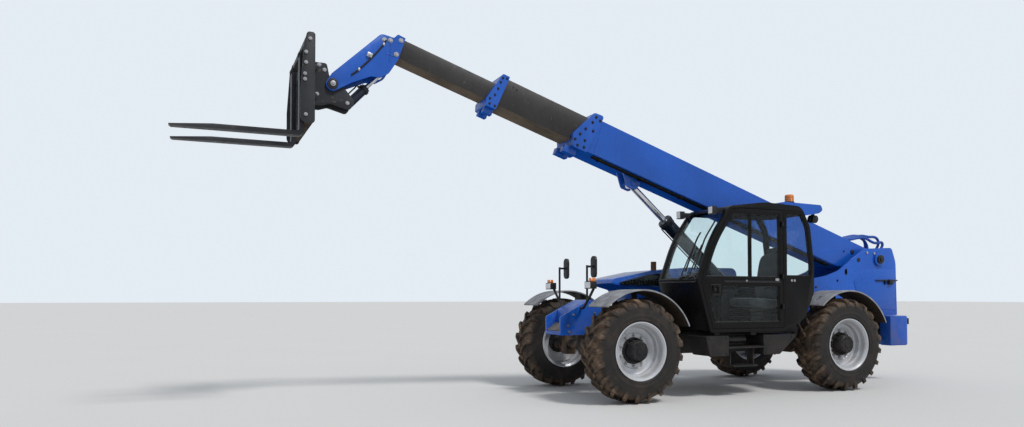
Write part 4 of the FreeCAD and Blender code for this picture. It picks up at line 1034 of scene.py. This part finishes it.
# Corners and bolts, ahead of the rear axle and above the ground in millimetres
TOWER_BOLTS = ((-654, 1428), (-257, 1334), (-300, 1210), (300, 1240), (300, 1330))
NOSE_BOLTS = ((3473, 982), (3543, 850), (3530, 775), (3316, 1090), (3180, 1110), (3180, 1000))
BOX_BOLTS = ((1890, 715), (2140, 715), (1890, 530), (1300, 715), (900, 715), (1300, 530))
SKID = ((3505, 786), (3640, 786), (3640, 800), (3530, 880), (3505, 880))


class HANDLER_OT_chassis(bpy.types.Operator):
    """Add the marks, bolts, lamps and shafts of the chassis"""

    bl_idname = "handler.chassis"
    bl_label = "Chassis fittings"

    def execute(self, context):
        self.tower()
        self.nose()
        self.steps()
        self.rear()
        self.shafts()
        self.lamps()
        return {"FINISHED"}

    def tower(self):
        """Pin caps, hose bracket and panel lines on the boom's tower."""
        caps = bmesh.new()
        dark = bmesh.new()
        panel = bmesh.new()
        for side in (1, -1):
            out = LEFT * side
            for x, z in ((-1220, 1831), (-1361, 1824)):
                barrel(caps, mm(x, side * TOWER_SIDE, z), out, 0.019, 0.012, edge=0.003)
            barrel(dark, mm(-1450, side * 343, 1740), out, 0.062, 0.022, edge=0.005)
            barrel(dark, mm(-1450, side * 365, 1740), out, 0.026, 0.012, sides=6)
            barrel(dark, mm(-1059, side * TOWER_SIDE, 1727), out, 0.03, 0.006, edge=0.002)
            for k in range(4):
                barrel(dark, mm(-816, side * TOWER_SIDE, 1529 + k * 16), out, 0.022, 0.003)
            bolts(dark, side_row(side * TOWER_SIDE, TOWER_BOLTS), out, 0.012)
            barrel(dark, mm(-1794, side * 335, 1437), FRONT, 0.009, 0.42, sides=16)
            box(dark, (-0.035, -0.02, -0.05), (0.035, 0.025, 0.02), 0.006, at(-1652, side * 335, 1430))
            for x in (-1700, -1560):
                barrel(dark, mm(x, side * TOWER_SIDE, 1437), out, 0.012, 0.02, sides=12)
                barrel(dark, mm(x, side * 335, 1437), -UP, 0.012, 0.06, sides=12)
        for y in (TOWER_SIDE, -TOWER_SIDE - 5):
            corners = ((-1180, 1600), (-960, 1420), (-1100, 1010), (-1770, 1010), (-1760, 1600))
            slab(panel, side_row(y, corners), (0, 0.005, 0), 0.002)
        piece("tower_caps", caps, "chassis", "zinc")
        piece("tower_marks", dark, "chassis", "dark_bolts")
        piece("tower_panels", panel, "chassis", "blue_paint")

    def nose(self):
        """Bolts and skid plate of the nose."""
        shape = bmesh.new()
        for side in (1, -1):
            bolts(shape, side_row(side * 210, NOSE_BOLTS), LEFT * side, 0.012)
        piece("nose_bolts", shape, "chassis", "zinc")
        skid = bmesh.new()
        slab(skid, side_row(-178, SKID), (0, 0.356, 0), 0.004)
        piece("nose_skid", skid, "chassis", "skid")

    def steps(self):
        """Tread bars on the steps, and bolts on the boxes beside them."""
        treads = bmesh.new()
        for low, high, first, last, z in ((820, 1070, 1350, 1850, 605), (875, 1075, 1445, 1775, 385)):
            for x in range(first, last, 42):
                box(treads, (0, 0, 0), (0.014, (high - low) / 1000, 0.006), 0.002, at(x, low, z))
        piece("step_treads", treads, "chassis", "dark_bolts")
        shape = bmesh.new()
        bolts(shape, side_row(1080, BOX_BOLTS), LEFT, 0.011, 0.009)
        piece("box_bolts", shape, "chassis", "dark_bolts")

    def rear(self):
        """Tail lamps, reflectors and the hitch pin."""
        housings = bmesh.new()
        red = bmesh.new()
        amber = bmesh.new()
        for side in (1, -1):
            place = at(-1850, side * 380, 845)
            box(housings, (-0.030, -0.075, -0.045), (0.0, 0.075, 0.045), 0.006, place)
            for lamp, ends in ((red, (-0.068, 0.004)), (amber, (0.008, 0.068))):
                first, last = sorted(side * end for end in ends)
                box(lamp, (-0.037, first, -0.038), (-0.029, last, 0.038), 0.003, place)
            barrel(red, mm(-1850, side * 380, 740), -FRONT, 0.032, 0.007, edge=0.002)
        piece("tail_housings", housings, "chassis", "black_plastic")
        piece("tail_red", red, "chassis", "red_lens")
        piece("tail_amber", amber, "chassis", "amber_lamp")
        pin = bmesh.new()
        barrel(pin, mm(-1790, 0, 520), UP, 0.0155, 0.20, edge=0.002)
        barrel(pin, mm(-1790, 0, 700), UP, 0.026, 0.012, edge=0.003)
        sweep(pin, [mm(-1790, y, z) for y, z in ((-18, 712), (-18, 745), (18, 745), (18, 712))], 0.005)
        piece("hitch_pin", pin, "chassis", "zinc")

    def shafts(self):
        """Drive shafts from the chassis to both axles."""
        shape = bmesh.new()
        for ends in (((1000, 560), (165, 590)), ((2500, 560), (2935, 590))):
            start, end = side_row(-175, ends)
            along = (end - start).normalized()
            reach = (end - start).length
            barrel(shape, start, along, 0.036, reach, sides=24)
            for d in (0.0, reach - 0.06):
                barrel(shape, start + along * d, along, 0.058, 0.02, sides=24, edge=0.003)
                barrel(shape, start + along * (d + 0.03), along, 0.048, 0.03, sides=12)
        piece("drive_shafts", shape, "chassis", "axle_black")

    def lamps(self):
        """Lenses, mirror glasses and the beacon's foot."""
        lenses = bmesh.new()
        for y in (370, 1010):
            box(lenses, (-0.002, -0.036, -0.040), (0.006, 0.036, 0.040), 0.004, at(2062, y, 2230))
        for side in (1, -1):
            box(lenses, (-0.002, -0.067, -0.035), (0.007, 0.067, 0.035), 0.004, at(3455, side * 530, 1338))
        barrel(lenses, mm(372, 950, 2192), -FRONT, 0.042, 0.006, edge=0.002)
        piece("lamp_lenses", lenses, "chassis", "white_lens")
        amber = bmesh.new()
        for side in (1, -1):
            box(amber, (0.01, -0.02, 0.0), (0.07, 0.04, 0.04), 0.004, at(3375, side * 560, 1380))
        piece("turn_lenses", amber, "chassis", "amber_lamp")
        glasses = bmesh.new()
        for side in (1, -1):
            box(glasses, (-0.0025, -0.05, -0.12), (0.001, 0.05, 0.12), 0.045, at(3264, side * 360, 1560))
        piece("mirror_glasses", glasses, "chassis", "mirror")
        foot = bmesh.new()
        barrel(foot, mm(790, 940, 2352), UP, 0.0625, 0.044, sides=48, end_radius=0.0605, edge=0.003)
        for k in range(3):
            barrel(foot, mm(790, 940, 2400 + k * 24), UP, 0.0562, 0.003, sides=48)
        piece("beacon_foot", foot, "chassis", "black_plastic")


# Cab


def windscreen(z, out=0.0):
    """Point on the slope of the windscreen at a height, in millimetres along the machine."""
    rows = ((1390, 2310), (1900, 2103), (2285, 1840))
    for (low, first), (high, second) in zip(rows, rows[1:]):
        if z <= high:
            break
    return first + (second - first) * (z - low) / (high - low) + out


def cushion(shape, low, high, seams, place, sharpness=5):
    """Stuffed pad between two corners, fuller in the middle, with channels sewn across it."""
    low, high = Vector(low), Vector(high)
    pad = bmesh.new()
    bmesh.ops.create_cube(pad, size=2.0)
    bmesh.ops.subdivide_edges(pad, edges=pad.edges[:], cuts=26, use_grid_fill=True)
    for vert in pad.verts:
        total = sum(abs(part) ** sharpness for part in vert.co) ** (1 / sharpness)
        point = vert.co / total
        dip = sum(math.exp(-((point.x - seam) / 0.035) ** 2) for seam in seams)
        piping = math.exp(-((abs(point.y) - 0.72) / 0.03) ** 2)
        if point.z > 0:
            point.z -= (dip + piping) * 0.10 * (1 - abs(point.y) ** 6)
        half = (high - low) / 2
        vert.co = (low + high) / 2 + Vector((point.x * half.x, point.y * half.y, point.z * half.z))
    bmesh.ops.transform(pad, matrix=place, verts=pad.verts)
    mesh = bpy.data.meshes.new("pad")
    pad.to_mesh(mesh)
    pad.free()
    shape.from_mesh(mesh)
    bpy.data.meshes.remove(mesh)


class HANDLER_OT_cab(bpy.types.Operator):
    """Add seals, wipers, handles and the fittings inside the cab"""

    bl_idname = "handler.cab"
    bl_label = "Cab"

    def execute(self, context):
        self.seals("cab_glass", "chassis")
        self.seals("door_glass", "door")
        self.wipers()
        self.door()
        self.seat()
        self.controls()
        return {"FINISHED"}

    def seals(self, name, body):
        """Rubber bead along every edge of the panes."""
        shape = bmesh.new()
        shape.from_mesh(frame["nodes"][name].data)
        bmesh.ops.remove_doubles(shape, verts=shape.verts, dist=MERGE)
        bmesh.ops.dissolve_limit(shape, angle_limit=math.radians(1), verts=shape.verts, edges=shape.edges)
        rims = [[v.co.copy() for v in e.verts] for e in shape.edges
                if len(e.link_faces) == 2 and e.calc_face_angle(0) > 1 and e.calc_length() > 0.0065]
        shape.free()
        bead = bmesh.new()
        for first, second in rims:
            barrel(bead, first, second - first, 0.0075, (second - first).length, sides=8)
        piece(name + "_seals", bead, body, "hose_rubber")

    def wipers(self):
        """Two wipers on the windscreen, and the strip below it."""
        shape = bmesh.new()
        for y, low, high, arm in ((960, 1520, 2120, 1430), (800, 1500, 2020, 1425)):
            blade = [mm(windscreen(z, 4), y + (z - low) * 0.03, z) for z in range(low, high + 1, 60)]
            sweep(shape, blade, 0.007, 8)
            sweep(shape, [point + FRONT * 0.012 for point in blade], 0.004, 8)
            top = (low + high) / 2
            bends = ((arm, 14, -30), (arm + 40, 26, -28), (top - 120, 26, -8), (top, 18, 8))
            sweep(shape, [mm(windscreen(z, out), y + shift, z) for z, out, shift in bends], 0.008, 10)
            barrel(shape, mm(windscreen(arm, -20), y - 30, arm), FRONT, 0.022, 0.05, sides=24, edge=0.003)
        piece("wipers", shape, "chassis", "black_plastic")
        strip = bmesh.new()
        sweep(strip, [mm(windscreen(1405, 2), y, 1405) for y in (330, 1050)], 0.011)
        corners = ((2290, 1372), (2345, 1366), (2345, 1378), (2290, 1392))
        slab(strip, side_row(345, corners), (0, 0.71, 0), 0.003)
        piece("scuttle_strip", strip, "chassis", "black_plastic")

    def door(self):
        """Handle, rail, latch and hinge bolts of the door, and the knobs of the window behind it."""
        shape = bmesh.new()
        ring = ((1990, 1222), (2098, 1222), (2122, 1345), (1990, 1345), (1990, 1222), (2098, 1222))
        sweep(shape, side_row(DOOR_FACE, ring), 0.006, 8)
        box(shape, (0.0, 0.0, 0.0), (0.095, 0.006, 0.10), 0.004, at(2000, DOOR_FACE, 1232))
        grip = ((1096, 1325), (1122, 1315), (1122, 1255), (1096, 1245))
        sweep(shape, [mm(2020, y, z) for y, z in grip], 0.009)
        barrel(shape, mm(2068, 1094, 1285), LEFT, 0.016, 0.014, sides=24, edge=0.002)
        box(shape, (0, 0, 0), (0.85, 0.008, 0.022), 0.003, at(1080, 1088, 1370))
        piece("door_handle", shape, "door", "black_plastic")
        latch = bmesh.new()
        box(latch, (0, 0, 0), (0.055, 0.014, 0.032), 0.004, at(1110, 1089, 1392))
        barrel(latch, mm(1600, 1089, 1392), LEFT, 0.012, 0.008, sides=20)
        piece("door_latch", latch, "door", "zinc")
        hinges = bmesh.new()
        for z in (1050, 1420, 2060):
            bolts(hinges, [mm(1056, 1114, z + 16), mm(1056, 1114, z + 44)], LEFT, 0.008, 0.007)
        piece("hinge_bolts", hinges, "door", "dark_bolts")
        quarter = bmesh.new()
        for x, z in ((905, 1400), (860, 1400)):
            barrel(quarter, mm(x, DOOR_FACE, z), LEFT, 0.016, 0.007, sides=24, edge=0.002)
        piece("quarter_knobs", quarter, "chassis", "zinc")

    def seat(self):
        """Stuffed seat on its suspension."""
        pads = bmesh.new()
        flat = at(1150, SEAT_LINE, 1120) @ pitch(-3)
        cushion(pads, (-0.245, -0.235, -0.062), (0.245, 0.235, 0.062), (-0.35, 0.0, 0.35), flat)
        lean = at(872, SEAT_LINE, 1455) @ pitch(79.5)
        cushion(pads, (-0.30, -0.225, -0.055), (0.30, 0.225, 0.055), (-0.4, -0.05, 0.3), lean)
        top = at(800, SEAT_LINE, 1780) @ pitch(79.5)
        cushion(pads, (-0.045, -0.13, -0.045), (0.045, 0.13, 0.045), (), top, 4)
        made = piece("seat_pads", pads, "chassis", "seat_black")
        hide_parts("operator_seat")
        base = bmesh.new()
        for k in range(6):
            reach = 0.20 if k % 2 else 0.185
            fold = at(1200, SEAT_LINE, 835 + k * 28)
            box(base, (-reach * 0.85, -reach, 0), (reach * 0.85, reach, 0.03), 0.012, fold)
        box(base, (-0.21, -0.21, 0), (0.21, 0.21, 0.03), 0.008, at(1180, SEAT_LINE, 1020))
        for side in (1, -1):
            rest = at(900, SEAT_LINE + side * 262, 1300)
            box(base, (-0.02, -0.03, -0.02), (0.30, 0.03, 0.02), 0.014, rest)
            stay = at(905, SEAT_LINE + side * 250, 1300)
            box(base, (-0.02, -0.012, -0.20), (0.02, 0.012, 0.0), 0.006, stay)
        piece("seat_base", base, "chassis", "black_plastic")

    def controls(self):
        """Steering wheel, column, dashboard and lever console."""
        shape = bmesh.new()
        lean = Vector((-0.349, 0, 0.937)).normalized()
        level = Vector((lean.z, 0, -lean.x))
        hub = mm(1915, SEAT_LINE, 1385)
        turns = [math.tau * k / 10 for k in range(10)]
        section = [(0.180 + 0.013 * math.cos(turn), 0.013 * math.sin(turn)) for turn in turns]
        spun(shape, section, hub + lean * 0.04, axis=lean, start=level, steps=48)
        barrel(shape, hub - lean * 0.01, lean, 0.040, 0.05, sides=32, end_radius=0.032, edge=0.004)
        for turn in (90, 210, 330):
            away = level * math.cos(math.radians(turn)) + LEFT * math.sin(math.radians(turn))
            spoke = ((0.025, 0.02), (0.03, 0.10), (0.04, 0.175))
            sweep(shape, [hub + lean * rise + away * reach for rise, reach in spoke], 0.010, 10)
        corners = ((1980, 826), (2080, 826), (1965, 1385), (1890, 1365))
        slab(shape, side_row(629, corners), (0, 0.12, 0), 0.012)
        made = piece("steering_set", shape, "chassis", "black_plastic")
        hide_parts("steering_console")
        board = bmesh.new()
        slab(board, side_row(350, ((2090, 1240), (2235, 1330), (2238, 1398), (2100, 1418), (2050, 1370))),
             (0, 0.68, 0), 0.012)
        box(board, (-0.06, -0.10, 0.0), (0.05, 0.10, 0.06), 0.014, at(2130, SEAT_LINE, 1412))
        box(board, (-0.17, -0.04, -0.06), (0.20, 0.04, 0.0), 0.014, at(1330, 400, 1290))
        box(board, (-0.10, -0.035, -0.45), (0.12, 0.035, -0.05), 0.01, at(1330, 395, 1290))
        sweep(board, [mm(1470, 400, 1285), mm(1480, 400, 1340), mm(1475, 400, 1370)], 0.009, 12)
        barrel(board, mm(1475, 400, 1360), UP, 0.018, 0.08, sides=24, end_radius=0.024, edge=0.006)
        for y in (560, 820):
            box(board, (-0.03, -0.04, 0.0), (0.03, 0.04, 0.012), 0.004,
                at(2010, y, 880) @ pitch(-50))
        piece("dashboard", board, "chassis", "black_plastic")


# Hood


class HANDLER_OT_hood(bpy.types.Operator):
    """Add the hood's rear grille, handles, panel lines and filler cap"""

    bl_idname = "handler.hood"
    bl_label = "Hood"

    def execute(self, context):
        lines = bmesh.new()
        for x in (1000, 2060):
            box(lines, (0, 0, 0), (0.006, 0.004, 0.62), 0, at(x, -1083, 900))
        box(lines, (0, 0, 0), (1.06, 0.004, 0.006), 0, at(1000, -1083, 1420))
        piece("hood_lines", lines, "chassis", "dark_bolts")
        grips = bmesh.new()
        for x in (1150, 1900):
            bends = ((x, -1080, 1360), (x, -1108, 1365), (x + 90, -1108, 1365), (x + 90, -1080, 1360))
            sweep(grips, [mm(*bend) for bend in bends], 0.008)
        for x in (1080, 2010):
            barrel(grips, mm(x, -1080, 1380), -LEFT, 0.018, 0.010, sides=24, edge=0.002)
            box(grips, (-0.004, -0.012, -0.014), (0.004, 0.0, 0.014), 0.001, at(x, -1088, 1380))
        piece("hood_grips", grips, "chassis", "black_plastic")
        slats = bmesh.new()
        for z in range(1290, 1520, 26):
            box(slats, (-0.012, -0.30, -0.004), (0.0, 0.30, 0.006), 0.002, at(566, -712, z))
        for y in (-0.315, 0.300):
            box(slats, (-0.008, y, 0.0), (0.0, y + 0.015, 0.25), 0.002, at(568, -712, 1280))
        piece("hood_rear_grille", slats, "chassis", "black_plastic")
        cap = bmesh.new()
        barrel(cap, mm(900, -560, 1604), UP, 0.045, 0.022, sides=12, edge=0.004)
        barrel(cap, mm(900, -560, 1626), UP, 0.030, 0.008, sides=24)
        piece("filler_cap", cap, "chassis", "black_plastic")
        return {"FINISHED"}


# Stage


CAMERA_PLACE = (4.703, 8.382, 1.208)
CAMERA_TURN = (91.455, 0, 156.976)
SUN_TURN = (38, 0, 205)


class HANDLER_OT_studio(bpy.types.Operator):
    """Set up the floor, the lamps and the camera"""

    bl_idname = "handler.studio"
    bl_label = "Studio"

    def execute(self, context):
        scene = context.scene
        settings = scene.handler_studio
        scene.view_settings.view_transform = "Standard"
        self.floor(settings)
        self.sky(scene, settings)
        sun = bpy.data.objects.new("sun", bpy.data.lights.new("sun", "SUN"))
        sun.data.energy = settings.sun
        sun.data.angle = math.radians(12)
        sun.rotation_euler = [math.radians(turn) for turn in SUN_TURN]
        scene.collection.objects.link(sun)
        eye = bpy.data.objects.new("camera", bpy.data.cameras.new("camera"))
        eye.data.sensor_width = 36
        eye.data.lens = settings.lens
        eye.data.shift_y = settings.shift
        eye.data.clip_end = 500
        eye.location = CAMERA_PLACE
        eye.rotation_euler = [math.radians(turn) for turn in CAMERA_TURN]
        scene.collection.objects.link(eye)
        scene.camera = eye
        return {"FINISHED"}

    def floor(self, settings):
        """Wide plain floor."""
        shape = bmesh.new()
        bmesh.ops.create_grid(shape, x_segments=1, y_segments=1, size=150)
        mesh = bpy.data.meshes.new("floor")
        shape.to_mesh(mesh)
        shape.free()
        recipe = Recipe("floor")
        shade = recipe.mix(recipe.noise(0.4, 3), rgba(settings.floor, 0.98), rgba(settings.floor, 1.02))
        recipe.drive("Base Color", shade)
        recipe.set(Roughness=0.9)
        mesh.materials.append(recipe.material)
        floor = bpy.data.objects.new("floor", mesh)
        bpy.context.scene.collection.objects.link(floor)

    def sky(self, scene, settings):
        """Even sky that shows pale to the camera and through glass."""
        world = bpy.data.worlds.new("sky")
        world.use_nodes = True
        tree = world.node_tree
        plain = tree.nodes["Background"]
        plain.inputs["Color"].default_value = (0.86, 0.92, 1.0, 1)
        plain.inputs["Strength"].default_value = settings.sky
        seen = tree.nodes.new("ShaderNodeBackground")
        seen.inputs["Color"].default_value = (0.78, 0.84, 0.9, 1)
        path = tree.nodes.new("ShaderNodeLightPath")
        either = tree.nodes.new("ShaderNodeMath")
        either.operation = "MAXIMUM"
        blend = tree.nodes.new("ShaderNodeMixShader")
        tree.links.new(path.outputs["Is Camera Ray"], either.inputs[0])
        tree.links.new(path.outputs["Is Transmission Ray"], either.inputs[1])
        tree.links.new(either.outputs[0], blend.inputs["Fac"])
        tree.links.new(plain.outputs[0], blend.inputs[1])
        tree.links.new(seen.outputs[0], blend.inputs[2])
        tree.links.new(blend.outputs[0], tree.nodes["World Output"].inputs["Surface"])
        scene.world = world


OPERATORS = (
    HANDLER_OT_paint_frame,
    HANDLER_OT_tyres,
    HANDLER_OT_rims,
    HANDLER_OT_boom,
    HANDLER_OT_chassis,
    HANDLER_OT_cab,
    HANDLER_OT_hood,
    HANDLER_OT_studio,
)


class HANDLER_PT_dressing(bpy.types.Panel):
    """Shows the handler's settings and the buttons that build its pieces."""

    bl_label = "Handler"
    bl_idname = "HANDLER_PT_dressing"
    bl_space_type = "VIEW_3D"
    bl_region_type = "UI"
    bl_category = "Handler"

    def draw(self, context):
        for group in ("handler_paint", "handler_sizes", "handler_studio"):
            settings = getattr(context.scene, group)
            for key in settings.__annotations__:
                self.layout.prop(settings, key)
        for operator in OPERATORS:
            self.layout.operator(operator.bl_idname)


GROUPS = (
    ("handler_paint", HandlerPaint),
    ("handler_sizes", HandlerSizes),
    ("handler_studio", HandlerStudio),
)


def register():
    """Register the settings, the operators and the panel."""
    for name, group in GROUPS:
        bpy.utils.register_class(group)
        setattr(bpy.types.Scene, name, bpy.props.PointerProperty(type=group))
    for kind in OPERATORS + (HANDLER_PT_dressing,):
        bpy.utils.register_class(kind)


def unregister():
    """Take them out again."""
    for kind in (HANDLER_PT_dressing,) + tuple(reversed(OPERATORS)):
        bpy.utils.unregister_class(kind)
    for name, group in reversed(GROUPS):
        delattr(bpy.types.Scene, name)
        bpy.utils.unregister_class(group)


def main():
    """Build every piece."""
    register()
    for operator in OPERATORS:
        folder, name = operator.bl_idname.split(".")
        getattr(getattr(bpy.ops, folder), name)()


if __name__ == "__main__":
    main()
